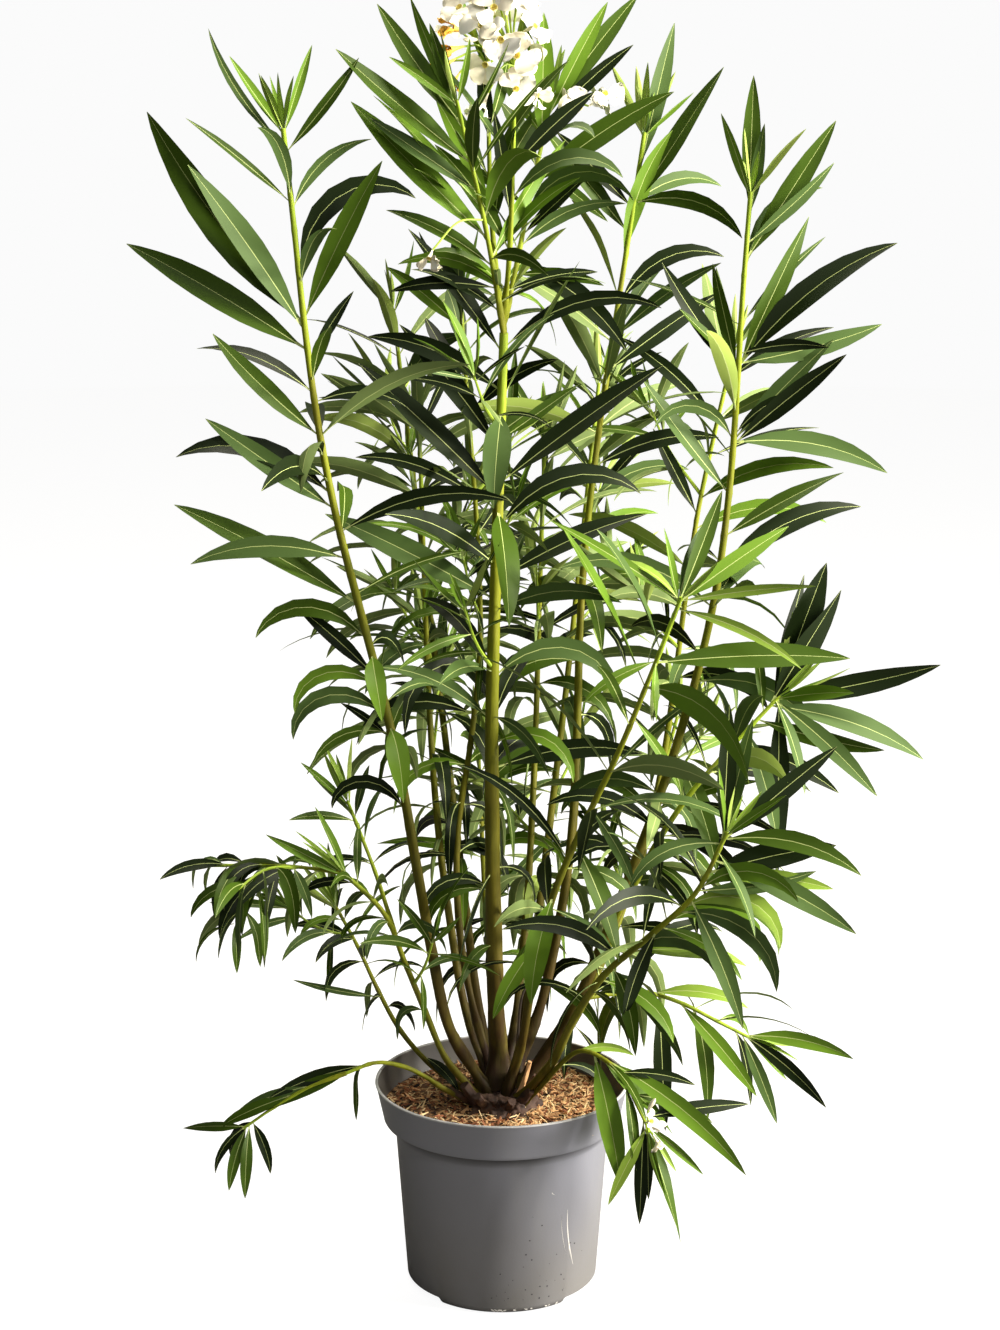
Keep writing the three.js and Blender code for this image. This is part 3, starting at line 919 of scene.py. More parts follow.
# ---- leaves ----
leafShape = {
    # from the stalk to the point: share of the length, share of the half width
    "rows": (0, 0.05, 0.12, 0.22, 0.34, 0.47, 0.60, 0.73, 0.85, 0.94, 1),
    "width": (0.075, 0.12, 0.35, 0.67, 0.92, 1, 0.95, 0.79, 0.52, 0.26, 0.02),
    "ratio": 0.134,  # widest place over length
    "rib": 0.42,  # half width of the rib near the stalk
    "ribTaper": (1.15, 0.8),
    "ribFull": 0.12,  # a leaf shorter than this, in metres, has a thinner rib
    "under": 1.3,  # how much broader the rib's underside is
    "thick": 0.3,
    "keel": 2.4,
    "sagPower": 1.35,
    "sagLimits": (-86, 130),
    "stray": 9,
    "twist": 22,
    "wave": 0.07,
}
# How far leaves may pass the frame's box, and how far they keep off the floor.
spare = {"share": 0.02, "beyond": 8, "above": 4}
greens = list(leafFinishes)
underOf = {"deep": "underGrey", "mid": "underGrey", "greySheen": "underGrey"}
underOf.update({"fresh": "underFresh", "young": "underFresh"})
leaves = []


# The side a blade turns to: up, and to the nearer open side of the plant.
def facingAt(base, rng):
    front = -1 if base[1] < 0.1 or rng.random() < 0.25 else 1
    return unit(np.array([0.25, front * 0.85, 0.55]) + rng.normal(0, 0.55, 3))


# The corners of one leaf: each row is edge, rib, rib, edge above, and the rib's two sides below.
def leafCorners(base, bearing, rise, length, sag, rng, fold=0.22, ratio=1.0, facing=None):
    t = np.array(leafShape["rows"])
    rises = np.clip(rise - sag * t ** leafShape["sagPower"], *leafShape["sagLimits"])
    bearings = bearing + rng.normal(0, leafShape["stray"]) * t
    ahead = np.array([heading(b, r) for b, r in zip(bearings, rises)])
    steps = np.diff(t)[:, None] * (ahead[1:] + ahead[:-1]) / 2
    spine = base + length * np.vstack([np.zeros(3), np.cumsum(steps, axis=0)])
    sides = carried(unit(np.cross(ahead[0], facingAt(base, rng) if facing is None else facing)), ahead)
    normals = np.cross(sides, ahead)
    t = t[:, None]
    turn = math.radians(rng.normal(0, leafShape["twist"])) * t
    across = sides * np.cos(turn) + normals * np.sin(turn)
    above = normals * np.cos(turn) - sides * np.sin(turn)
    half = length * leafShape["ratio"] / 2 * ratio * np.array(leafShape["width"])[:, None]
    full, taper = leafShape["ribTaper"]
    rib = leafShape["rib"] * mm * (full - taper * t) * min(1, length / leafShape["ribFull"])
    rib = across * np.minimum(rib, half * 0.6)
    under = spine - above * leafShape["thick"] * mm * (1.2 - t) * leafShape["keel"]
    wave = [half * leafShape["wave"] * np.sin(9 * t + rng.uniform(0, 6)) for _ in range(2)]
    rows = [
        spine - across * half + above * (fold * half + wave[0]),
        spine - rib,
        spine + rib,
        spine + across * half + above * (fold * half + wave[1]),
        under + rib * leafShape["under"],
        under - rib * leafShape["under"],
    ]
    return np.stack(rows, axis=1)


def insideBox(corners):
    low, high = np.array(cadBox[0]), np.array(cadBox[1])
    past = spare["share"] * (high - low) + spare["beyond"] * mm
    inside = (corners > low - past).all() and (corners < high + past).all()
    return inside and corners[..., 2].min() > spare["above"] * mm


def addLeaf(base, bearing, rise, length, sag, green, rng, **extra):
    for shrink in (1, 0.85, 0.7, 0.55):
        rows = leafCorners(base, bearing, rise, length * shrink, sag, rng, **extra)
        if insideBox(rows):
            leaves.append({"rows": rows, "green": green})
            return


# How the shoots grow. Each list runs from the lowest leaves of a shoot to its tip, in mm and degrees.
# youth shifts the draw of greens along a shoot: up for young growth, and down towards the deep green on
# inner, low and hanging limbs as painted shade.
habits = {
    "tall": {"bare": 0.4, "gap": (66, 52, 36), "leaf": (125, 165, 172, 150), "lean": (88, 68, 48, 34),
             "sag": (105, 60, 25, 8), "keep": (0.4, 0.85, 1), "tuft": 8, "twigs": 3},
    "inner": {"bare": 0.3, "gap": (52, 46, 36), "leaf": (120, 155, 155, 135), "lean": (84, 76, 60, 42),
              "sag": (165, 125, 70, 20), "keep": (0.75, 0.85, 0.85), "tuft": 5, "twigs": 3, "youthAndShade": -0.9,
              "tip": ("mid", "fresh")},
    "crown": {"bare": 0.14, "gap": (52, 40, 34), "leaf": (120, 150, 150, 120), "lean": (60, 50, 40, 30),
              "sag": (60, 30, 10, 5), "keep": (0.8, 0.95, 0.85), "tuft": 4, "twigs": 0, "youthAndShade": 0.7},
    "low": {"bare": 0.3, "gap": (44, 34, 24), "leaf": (120, 150, 150, 120), "lean": (80, 72, 60, 45),
            "sag": (110, 85, 60, 35), "keep": (0.6, 0.95, 1), "tuft": 6, "twigs": 2, "youthAndShade": -0.3},
    "thin": {"bare": 0.2, "gap": (34, 26, 20), "leaf": (70, 88, 84, 66), "lean": (70, 62, 50, 35),
             "sag": (130, 115, 100, 70), "keep": (0.6, 0.85, 0.85), "tuft": 5, "twigs": 1, "broad": 1.25,
             "wisps": 0.1},
    "hanging": {"bare": 0.1, "gap": (26, 22, 18), "leaf": (72, 92, 88, 64), "lean": (70, 66, 58, 50),
                "sag": (90, 100, 100, 95), "keep": (0.55, 0.72, 0.75), "tuft": 0, "twigs": 0, "highest": 14,
                "youthAndShade": -0.2, "broad": 1.3, "wisps": 0.1},
    "twig": {"bare": 0.3, "gap": (36, 26, 20), "leaf": (80, 105, 100, 80), "lean": (65, 55, 45, 32),
             "sag": (70, 50, 30, 10), "keep": (0.8, 1, 1), "tuft": 3, "twigs": 0, "tip": ("mid", "fresh")},
}
# Each limb's habit, and what sets it apart from it.
growth = {
    "stem_centre": ("tall", {"bare": 0.3, "keep": (0.35, 0.5, 0.6), "tuft": 0, "twigs": 2}),
    "stem_left": ("tall", {"keep": (0.65, 0.8, 0.6), "twigs": 0}),
    "stem_inner_left": ("inner", {}),
    "stem_inner": ("inner", {}),
    "stem_inner_right": ("inner", {"bare": 0.26, "keep": (0.7, 0.85, 0.8)}),
    "stem_right_arch": ("tall", {"bare": 0.28, "keep": (0.8, 0.8, 0.6), "tuft": 2, "twigs": 0,
                                 "youthAndShade": -0.2}),
    "stem_right_tall": ("tall", {"keep": (0.6, 0.75, 0.5), "twigs": 0}),
    "stem_right_far": ("tall", {"bare": 0.3, "keep": (0.6, 0.7, 0.5), "twigs": 0}),
    "stem_right_back": ("inner", {"bare": 0.2, "keep": (0.8, 0.8, 0.8), "twigs": 2}),
    "stem_right_front": ("low", {"bare": 0.42, "keep": (0.9, 0.9, 0.6), "twigs": 0}),
    "stem_over_right": ("low", {"bare": 0.4, "leaf": (90, 115, 115, 100), "keep": (0.6, 0.6, 0.5), "twigs": 0,
                                "tuft": 3}),
    "stem_low_left": ("thin", {"bare": 0.45, "keep": (0.3, 0.6, 1)}),
    "stem_low_left_back": ("thin", {"bare": 0.66}),
    "stem_over_left": ("thin", {"bare": 0.9, "twigs": 0, "tuft": 0}),
    "stem_back_left": ("inner", {"twigs": 4}),
    "stem_back_right": ("inner", {"bare": 0.24, "keep": (0.7, 0.85, 0.8), "twigs": 4}),
    "stem_back_low": ("low", {}),
    "stem_back_side": ("low", {"bare": 0.22}),
    "bough_crown_left": ("crown", {}),
    "bough_crown_back": ("crown", {"tuft": 3}),
    "bough_crown_front": ("crown", {"keep": (0.7, 0.6, 0.1), "tuft": 2}),
    "bough_crown_right": ("crown", {}),
    "bough_right_mid": ("low", {"bare": 0.3, "keep": (1, 1, 0.8), "lean": (75, 65, 60, 55), "twigs": 0}),
    "bough_right_low": ("low", {"bare": 0.1, "keep": (1, 0.95, 0.85), "twigs": 0, "wisps": 0.3,
                                "youthAndShade": 0.4}),
    "bough_low_left": ("hanging", {"bare": 0, "twigs": 3}),
    "bough_low_left_up": ("thin", {"bare": 0.3, "sag": (110, 80, 50, 10), "twigs": 0}),
    "bough_over_left": ("thin", {"bare": 0.5, "keep": (0, 0.2, 0.2), "tuft": 0, "twigs": 0}),
}
# Leaves that draw the outline: share of the limb, bearing, rise, length, sag, green.
# The green of each leaf here is partly its own tone and partly painted light and shade: lighter greens where
# a leaf is lit, the deep green where it lies in shade.
outline = {
    "stem_left": [
        (0.985, 182, 45, 135, -30, "greySheen", 0.5), (0.98, 5, 48, 115, -8, "mid", 0.8),
        (0.935, 188, 42, 130, 8, "mid", 0.55), (0.93, 0, 66, 108, 62, "greySheen"),
        (0.94, -110, 78, 100, 75, "greySheen"), (0.875, 8, 80, 165, 120, "deep"),
        (0.825, 180, 48, 255, -14, "mid"), (0.82, 192, 58, 195, 6, "greySheen"), (0.83, 2, 66, 172, 8, "fresh"),
        (0.8, 176, 33, 205, 6, "mid"), (0.79, 15, 60, 80, 8, "deep"), (0.72, 184, 40, 145, -10, "mid"),
        (0.75, 0, 22, 95, 60, "deep"), (0.665, 178, 42, 170, 70, "deep", 1.2),
        (0.7, -100, 36, 120, 120, "deep", 1.3), (0.77, -70, 60, 100, 50, "mid", 1.2),
        (0.86, -60, 70, 105, 80, "greySheen", 1.1), (0.65, 186, 36, 155, 0, "greySheen"),
        (0.555, 178, 32, 210, 8, "mid"), (0.6, 190, 18, 160, 45, "greySheen"), (0.52, 182, 48, 135, 115, "mid"),
        (0.48, 175, 45, 110, 10, "deep"), (0.5, -85, -10, 100, 50, "fresh", 1.6),
        (0.47, 182, 35, 115, 130, "fresh"), (0.44, 184, 42, 130, 140, "greySheen"),
        (0.415, 172, 42, 62, 15, "deep"), (0.42, 190, 15, 95, 85, "mid"),
        (0.425, -78, -8, 112, 55, "fresh", 1.6), (0.34, 186, 62, 105, 150, "deep"),
    ],
    "stem_centre": [
        (0.9, -94, -24, 122, 58, "greySheen", 1.8), (0.775, -84, -22, 148, 56, "mid", 1.8),
        (0.8, 176, 45, 200, 10, "deep"), (0.665, 178, 30, 195, 8, "greySheen"), (0.815, 4, 38, 205, 5, "deep"),
        (0.87, 10, 34, 95, 0, "mid"), (0.76, 0, 52, 170, 95, "deep"), (0.69, 0, 32, 170, 20, "deep"),
        (0.565, 5, 42, 160, 125, "greySheen"), (0.475, -20, 30, 120, 120, "fresh"),
        (0.28, 190, 32, 100, 130, "deep"), (0.125, -30, 66, 80, 5, "fresh"),
        (0.985, 0, 42, 175, 66, "deep", 0.75), (0.93, 178, 38, 150, 40, "deep"),
        (0.86, 172, 55, 160, 10, "deep"), (0.275, 188, 15, 90, 115, "mid", 1.2),
        (0.2, -120, 10, 84, 80, "mid", 1.3), (0.24, -30, 40, 100, 120, "deep", 1.2),
    ],
    "stem_inner_right": [
        (0.7, -80, 50, 120, 110, "greySheen", 1.3), (0.53, -95, 10, 112, 85, "greySheen", 1.3),
        (0.62, -40, 20, 120, 100, "mid"),
    ],
    "bough_crown_left": [
        (0.74, 182, 38, 172, -4, "mid", 1.15), (0.9, 176, 52, 142, -6, "mid"), (0.94, 184, 70, 92, -4, "mid"),
        (0.96, 170, 64, 118, -6, "fresh", 0.8), (0.42, 182, 44, 190, -2, "fresh", 1.1),
        (0.62, 186, 34, 128, 0, "greySheen"), (0.56, 178, 48, 150, 6, "fresh", 0.8),
        (0.3, 180, 38, 120, 25, "mid"), (0.5, -58, 66, 150, 92, "fresh", 1.2),
        (0.1, 184, 40, 100, 34, "deep", 1.2), (0.2, 182, 10, 110, 30, "deep"),
    ],
    "bough_crown_right": [
        (0.8, -84, 78, 134, -6, "fresh", 1.3), (0.93, 0, 64, 130, 4, "fresh"), (0.96, 12, 54, 150, 6, "mid"),
        (0.9, -15, 46, 120, 12, "deep"), (0.62, 0, 40, 172, 16, "mid"), (0.5, -35, 52, 150, 110, "greySheen"),
        (0.35, 0, 45, 120, 55, "greySheen"), (0.8, -50, 30, 110, 60, "greySheen"), (0.7, -5, -36, 92, 4, "mid"),
        (0.28, -12, -24, 148, 34, "deep", 1.2), (0.4, -8, 44, 96, 4, "deep", 1.2),
        (0.22, -6, 6, 92, 30, "mid"),
    ],
    "bough_crown_front": [
        (0.5, -20, 50, 140, 95, "greySheen", 1.2), (0.3, 200, 62, 130, 20, "mid"),
        (0.62, 5, 48, 110, 14, "deep", 1.3), (0.44, -130, 78, 105, 10, "deep"),
    ],
    "bough_crown_back": [
        (0.74, -110, 76, 82, 22, "deep", 1.4), (0.6, 185, 62, 110, 6, "mid"), (0.98, -100, 84, 74, 8, "mid"),
        (0.5, 184, 66, 120, 8, "fresh"), (0.4, -70, 70, 120, 20, "mid"),
    ],
    "stem_right_arch": [
        (0.995, 175, 34, 155, 12, "fresh", 0.6), (0.995, 15, 34, 135, 8, "fresh"),
        (0.995, -8, 12, 135, 8, "young", 0.6), (0.995, 165, 52, 90, 70, "young"),
        (0.99, 60, 66, 100, 40, "greySheen"), (0.98, -20, -8, 140, 32, "young", 0.6),
        (0.995, 40, 60, 120, 0, "mid"), (0.885, 195, -14, 84, 35, "fresh"),
        (0.885, -100, -40, 68, 20, "fresh"), (0.885, 0, 6, 195, 12, "mid"),
        (0.84, -40, 4, 168, 78, "fresh", 1.55), (0.42, -110, -35, 120, 50, "fresh", 1.7),
        (0.33, 200, -50, 95, 18, "fresh", 1.5), (0.53, -45, -52, 130, 22, "mid", 1.4),
        (0.6, -20, -50, 92, 25, "greySheen"), (0.78, -25, -45, 85, 20, "fresh", 0.9),
        (0.48, 10, 0, 110, 95, "mid"), (0.26, -20, -10, 100, 70, "mid"),
    ],
    "stem_right_front": [
        (0.985, 60, 85, 135, 0, "deep"), (0.975, 20, 76, 128, 0, "greySheen"), (0.985, 8, 40, 145, 4, "deep"),
        (0.985, -15, 10, 145, 48, "mid"), (0.97, 190, 8, 110, 78, "greySheen"), (0.95, -60, -30, 98, 40, "greySheen"),
        (0.93, -10, -18, 160, 20, "greySheen"), (0.85, 0, 2, 120, -18, "greySheen"), (0.82, -30, -58, 140, 15, "greySheen"),
        (0.8, 0, 18, 130, 112, "mid"), (0.78, -10, 4, 145, 100, "greySheen"), (0.72, -20, -8, 100, 50, "fresh"),
        (0.9, 5, -4, 130, 14, "young"), (0.7, 200, -60, 96, 20, "deep", 1.5),
        (0.55, -70, -20, 105, 60, "mid", 1.3), (0.9, -10, 20, 130, 12, "deep", 1.6),
        (0.86, -30, 42, 120, 100, "fresh", 1.2), (0.8, -10, 30, 130, 125, "young", 1.2),
        (0.74, 0, 30, 135, 135, "fresh", 1.2), (0.62, -10, 10, 120, 40, "young", 1.4),
        (0.6, -20, 44, 125, 130, "greySheen", 1.3), (0.5, -15, -10, 105, 70, "fresh", 1.3),
        (0.46, -60, 10, 100, 95, "mid", 1.2),
    ],
    "bough_right_mid": [
        (0.99, 15, 70, 150, 0, "deep", 1.7), (0.98, 50, 70, 135, 0, "deep"),
        (0.99, -30, 16, 92, 10, "fresh", 1.4), (0.99, 0, 10, 172, -8, "deep"),
        (0.98, -70, -36, 110, 35, "greySheen"), (0.98, -20, -34, 145, 10, "greySheen"), (0.96, 5, -8, 178, 30, "greySheen"),
        (0.9, -5, -18, 135, -15, "mid"), (0.8, 10, -18, 125, 22, "deep"), (0.93, 120, 80, 82, 0, "mid"),
        (0.99, 60, 55, 74, 15, "young"), (0.99, -80, -84, 190, 4, "deep", 0.9),
        (0.97, 0, 60, 138, 0, "deep", 1.7), (0.85, -60, -56, 120, 25, "greySheen", 1.3),
    ],
    "bough_right_low": [
        (0.985, -10, 4, 122, 34, "fresh"), (0.98, -20, -28, 118, 18, "deep"),
        (0.6, -30, -38, 132, 18, "fresh"), (0.96, -40, -58, 105, 12, "greySheen"),
        (0.45, -10, 12, 108, 45, "young"), (0.3, -50, -10, 110, 60, "greySheen"),
    ],
    "stem_over_right": [
        (0.62, -58, -62, 140, 12, "fresh", 1.4), (0.66, -15, -42, 110, 10, "fresh", 1.4),
        (0.68, -18, -24, 190, 28, "fresh", 0.85), (0.5, 10, 20, 70, 60, "young"),
        (0.75, 0, 2, 82, 30, "deep"), (0.8, -60, -68, 92, 14, "mid", 1.2),
        (0.99, 205, -58, 92, 8, "young", 1.1), (0.99, -50, -62, 125, 10, "mid", 1.2),
        (0.99, -80, -74, 76, 5, "deep"), (0.96, -100, -80, 112, 5, "deep"), (0.95, 5, 10, 115, 16, "deep"),
        (0.85, 20, -14, 100, 26, "mid"),
    ],
    "stem_right_tall": [
        (0.93, 0, 57, 170, 0, "mid"), (0.97, 0, 78, 150, 2, "greySheen"), (0.985, 20, 74, 84, 0, "fresh"),
        (0.875, 172, 98, 145, -30, "fresh"), (0.93, -18, 14, 135, 72, "mid"), (0.93, 30, 34, 118, 62, "greySheen"),
        (0.925, 176, 46, 115, 6, "deep"), (0.83, 0, 58, 135, 84, "deep"), (0.355, 190, 18, 130, 100, "mid"),
        (0.9, 170, 50, 150, 0, "mid"), (0.76, 2, 38, 150, 12, "deep"), (0.66, 0, 30, 140, 40, "deep"),
        (0.455, 188, 12, 125, 100, "mid", 1.3),
    ],
    "stem_right_far": [
        (0.985, 60, 86, 132, 0, "mid"), (0.98, 10, 82, 90, 0, "greySheen"), (0.935, 4, 57, 165, 0, "mid"),
        (0.95, -10, 40, 118, -8, "greySheen"), (0.93, 20, 74, 120, 74, "greySheen"), (0.83, 10, 65, 165, 0, "mid"),
        (0.83, 0, 52, 205, 34, "deep"), (0.825, 165, 76, 110, 0, "mid"), (0.82, 180, 52, 138, -8, "deep"),
        (0.83, 184, 42, 86, 0, "mid"), (0.84, -10, 16, 92, 26, "deep"), (0.83, 2, 10, 155, -10, "greySheen"),
        (0.755, 0, 48, 142, 5, "greySheen"), (0.75, -15, 42, 148, 5, "deep"), (0.75, 10, 4, 170, 38, "greySheen"),
        (0.755, 186, 62, 108, 130, "greySheen"), (0.76, -5, 52, 82, 50, "deep"), (0.655, 0, 33, 138, 10, "mid"),
        (0.62, 5, 42, 170, 48, "deep"), (0.7, 180, 50, 150, -6, "greySheen"),
        (0.42, -60, -40, 140, 30, "mid", 1.3), (0.34, -20, 0, 150, 95, "deep", 1.3),
        (0.5, -10, 10, 150, 80, "greySheen", 1.2),
    ],
    "stem_right_back": [
        (0.79, 170, 62, 105, 0, "deep"), (0.58, -20, 20, 120, 80, "deep", 1.3),
        (0.42, -40, 10, 120, 100, "greySheen", 1.2),
    ],
    "bough_over_left": [
        (0.98, 176, 0, 70, 14, "mid", 1.3), (0.98, 196, -30, 62, 60, "deep", 1.4),
        (0.97, -125, -50, 70, 22, "mid", 1.4), (0.94, -100, -58, 78, 20, "mid", 1.3),
        (0.9, -60, -25, 62, 64, "deep", 1.4), (0.9, 150, -30, 60, 62, "deep", 1.4),
        (0.5, 184, -18, 88, 18, "mid", 1.2), (0.35, 178, -14, 84, 20, "greySheen"),
    ],
    "stem_over_left": [
        (0.96, 184, -20, 112, 10, "mid", 1.1), (0.9, 178, -12, 108, 16, "deep"),
    ],
    "stem_low_left_back": [
        (0.6, -110, 25, 70, 115, "deep", 1.3), (0.6, 182, 8, 100, -8, "greySheen", 0.6),
        (0.55, -50, 35, 66, 120, "deep"), (0.3, -30, -18, 58, 30, "deep", 1.6),
    ],
}
# How often each green is drawn, from the foot of a shoot to its tip.
greenShares = {
    "deep": (0.56, 0.4, 0.16),
    "mid": (0.22, 0.32, 0.4),
    "greySheen": (0.16, 0.2, 0.14),
    "fresh": (0.06, 0.08, 0.3),
}
# What holds for every whorl and tuft: ranges are pairs, strays are spreads to either side.
whorl = {
    "turnStray": 8,
    "angleStray": 12,
    "leanStray": 10,
    "slip": 2,  # how far a leaf's stalk strays along the limb
    "seat": 0.8,  # where it starts, as a share of the limb's radius
    "length": (0.78, 1.12),
    "sag": (0.4, 1.3),
    "broad": (0.74, 1.08),
    "wisp": (0.36, 0.6),
    "wisps": 0.26,
    "gap": (0.8, 1.2),
    "last": 0.985,
    "clear": 26,  # a leaf nearer than this to a listed one, and going its way, is left out
    "sameWay": 0.6,
}
tuft = {
    "turn": 137.5,
    "turnStray": 30,
    "lean": (30, 6),
    "leanStray": 4,
    "leaf": (92, 40),
    "length": (0.8, 1.15),
    "sink": 6,
    "younger": 0.25,
    "sagStray": 8,
    "fold": 0.5,
    "broad": 0.85,
}
twigs = Gathered()
twigShape = {"long": (75, 130), "radius": (2.1, 1.1), "lean": 48, "lift": 26, "fall": 0.5, "sides": 6}


def pickGreen(age, rng):
    weights = np.array([along(shares, age) for shares in greenShares.values()])
    return str(rng.choice(list(greenShares), p=weights / weights.sum()))


def frontFace(rng):
    return unit(np.array([0.15, -0.95, 0.4]) + rng.normal(0, 0.22, 3))


# Leaves stand in whorls of three, each whorl turned by a sixth on the last, and a shoot ends in a tuft.
def grow(line, habit, rng, byHand=(), youthAndShade=0.0):
    youthAndShade += habit.get("youthAndShade", 0)
    share, turn = habit["bare"], rng.uniform(0, 360)
    growByHand(line, byHand, rng)
    twigShares = [along((habit["bare"] + 0.05, 0.9), rng.random()) for _ in range(habit["twigs"])]
    while share < whorl["last"]:
        age = (share - habit["bare"]) / max(1 - habit["bare"], 0.01)
        base, ahead, radius = spotOn(line, share)
        near = [
            heading(bearing, rise)
            for at, bearing, rise, *rest in byHand
            if abs(at - share) * line["length"] < whorl["clear"] * mm
        ]
        growWhorl((base, ahead, radius, turn), habit, age, youthAndShade, near, rng)
        turn += 60 + rng.normal(0, whorl["turnStray"])
        while twigShares and min(twigShares) < share:
            twigShares.remove(min(twigShares))
            kind = "hanging" if "highest" in habit else "twig"
            growTwig(base, ahead, turn + rng.uniform(0, 360), rng, kind)
        share += along(habit["gap"], age) * rng.uniform(*whorl["gap"]) * mm / line["length"]
    growTuft(line, habit["tuft"], rng, habit.get("tip", ("fresh", "young")))


def growByHand(line, byHand, rng):
    for at, bearing, rise, length, sag, green, *broad in byHand:
        base, ahead, radius = spotOn(line, at)
        away = heading(bearing, rise)
        spot = base + unit(away - ahead * away.dot(ahead)) * radius * whorl["seat"]
        extra = {"facing": frontFace(rng), "ratio": broad[0] if broad else whorl["broad"][1]}
        addLeaf(spot, bearing, rise, length * mm, sag, green, rng, **extra)


def growWhorl(place, habit, age, youthAndShade, near, rng):
    base, ahead, radius, turn = place
    side, other = squareTo(ahead)
    for k in range(3):
        if rng.random() > along(habit["keep"], age):
            continue
        angle = math.radians(turn + 120 * k + rng.normal(0, whorl["angleStray"]))
        out = math.cos(angle) * side + math.sin(angle) * other
        lean = math.radians(along(habit["lean"], age) + rng.normal(0, whorl["leanStray"]))
        away = math.cos(lean) * ahead + math.sin(lean) * out
        if any(h.dot(away) > whorl["sameWay"] for h in near):
            continue
        bearing, rise = bearingAndRise(away)
        rise = min(rise, habit.get("highest", 90))
        length = along(habit["leaf"], age) * rng.uniform(*whorl["length"]) * mm
        sag = along(habit["sag"], age) * rng.uniform(*whorl["sag"])
        spot = base + out * radius * whorl["seat"] + ahead * rng.normal(0, whorl["slip"]) * mm
        kind = "broad" if rng.random() > habit.get("wisps", whorl["wisps"]) else "wisp"
        ratio = rng.uniform(*whorl[kind]) * habit.get("broad", 1)
        addLeaf(spot, bearing, rise, length, sag, pickGreen(age + youthAndShade, rng), rng, ratio=ratio)


# A side shoot leaves its limb at a slant, turns up or hangs, and carries whorls and a tuft of its own.
def growTwig(base, ahead, turn, rng, habitName):
    side, other = squareTo(ahead)
    out = math.cos(math.radians(turn)) * side + math.sin(math.radians(turn)) * other
    lean = math.radians(twigShape["lean"])
    away = math.cos(lean) * ahead + math.sin(lean) * out
    hangs = habitName == "hanging"
    lift = level(-twigShape["fall"] if hangs else math.sin(math.radians(twigShape["lift"])))
    half = rng.uniform(*twigShape["long"]) * mm / 2
    points = [base, base + away * half, base + away * half + unit(away + lift) * half]
    line = smoothLine(points, np.linspace(*twigShape["radius"], 3) * mm)
    if not insideBox(line["points"]):
        return
    twigs.add(*tube(line["points"][::2], line["radii"][::2], twigShape["sides"]), 0)
    grow(line, habits[habitName], rng, youthAndShade=0.35)


def growTuft(line, count, rng, greenPair):
    base, ahead, _ = spotOn(line, 1)
    side, other = squareTo(ahead)
    for i in range(count):
        inner = i / count
        angle = math.radians(tuft["turn"] * i + rng.uniform(0, tuft["turnStray"]))
        lean = math.radians(along(tuft["lean"], inner) + rng.normal(0, tuft["leanStray"]))
        away = math.cos(lean) * ahead + math.sin(lean) * (math.cos(angle) * side + math.sin(angle) * other)
        bearing, rise = bearingAndRise(away)
        length = along(tuft["leaf"], inner) * rng.uniform(*tuft["length"]) * mm
        spot = base - ahead * (1 - inner) * tuft["sink"] * mm
        green = greenPair[int(inner > tuft["younger"])]
        sag = rng.normal(0, tuft["sagStray"])
        addLeaf(spot, bearing, rise, length, sag, green, rng, fold=tuft["fold"], ratio=tuft["broad"])


for seed, name in enumerate(stemNames + boughNames):
    habitName, changes = growth[name]
    rng = np.random.default_rng(300 + seed)
    grow(lines[name], {**habits[habitName], **changes}, rng, outline.get(name, ()))
print("leaves grown:", len(leaves))


# Every leaf goes to the mass of the frame whose middle it is nearest, for the size of that mass.
massBoxes = {}
for name in sorted(name for name in nodes if name.startswith("leaves_")):
    low, high = (np.array(corner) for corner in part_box(name))
    massBoxes[name] = ((low + high) / 2, high - low)


def nearestMass(leaf):
    middle = leaf["rows"][4].mean(axis=0)
    gaps = {}
    for name, (centre, size) in massBoxes.items():
        gaps[name] = np.linalg.norm((middle - centre) / size)
    return min(gaps, key=gaps.get)


# A leaf's skin, split so that its underside folds just as its top does; the finishes go with the faces.
def leafSkin(rows, green):
    top, under, rib = greens.index(green), greens.index(underOf[green]), greens.index("rib")
    corners, quads = skin(rows)
    faces, finish = [], []
    across = [top, rib, top, under, rib, under]
    for i, (a, b, c, d) in enumerate(quads[:-2]):
        side = i % 6
        faces += [[a, b, d], [b, c, d]] if side in (2, 5) else [[a, b, c], [a, c, d]]
        finish += [rib if i < 6 else across[side]] * 2
    return corners, faces + quads[-2:], finish + [rib, top]


byMass = {name: Gathered() for name in massBoxes}
for leaf in leaves:
    byMass[nearestMass(leaf)].add(*leafSkin(leaf["rows"], leaf["green"]))
for name, gathered in byMass.items():
    piece = gathered.piece(name + "_spray", list(leafFinishes.values()), 50)
    settle(piece, "leaf", name)
print("sprays joined:", len(byMass))


# ---- blossom ----
bloom = {
    "petals": 5,
    "petalRows": (0, 0.2, 0.42, 0.64, 0.82, 0.94, 1),
    "petalWidth": (0.26, 0.55, 0.86, 1, 0.92, 0.62, 0.3),
    "long": 19,
    "wide": 9.6,  # half the width
    "mouth": (3.6, 15.6),  # where the petals stand: out from the middle, and up
    "spread": (6, 34),
    "closed": 55,  # how much steeper the petals of a shut bloom stand
    "curl": 5,
    "pinwheel": 3.4,
    "ruffle": 3.1,
    "thin": 0.3,
    "shaded": 0.3,  # share of petals of the deeper cream
    "opening": {"open": 1.0, "half": 0.45, "faded": 0.15},
    "sides": (10, 7),
    "tube": [(1.2, 0), (1.8, 6), (2.7, 11), (4.0, 16), (3.4, 16.4), (2.3, 13), (1.6, 10.5)],
    "bud": [(0.8, 0), (1.9, 3), (3.1, 9), (3.3, 13), (2.2, 18), (0.4, 21)],
    "stalk": 1.1,
    "bow": 8,
    "farthest": 90,
}
flowers, stalks = Gathered(), Gathered()


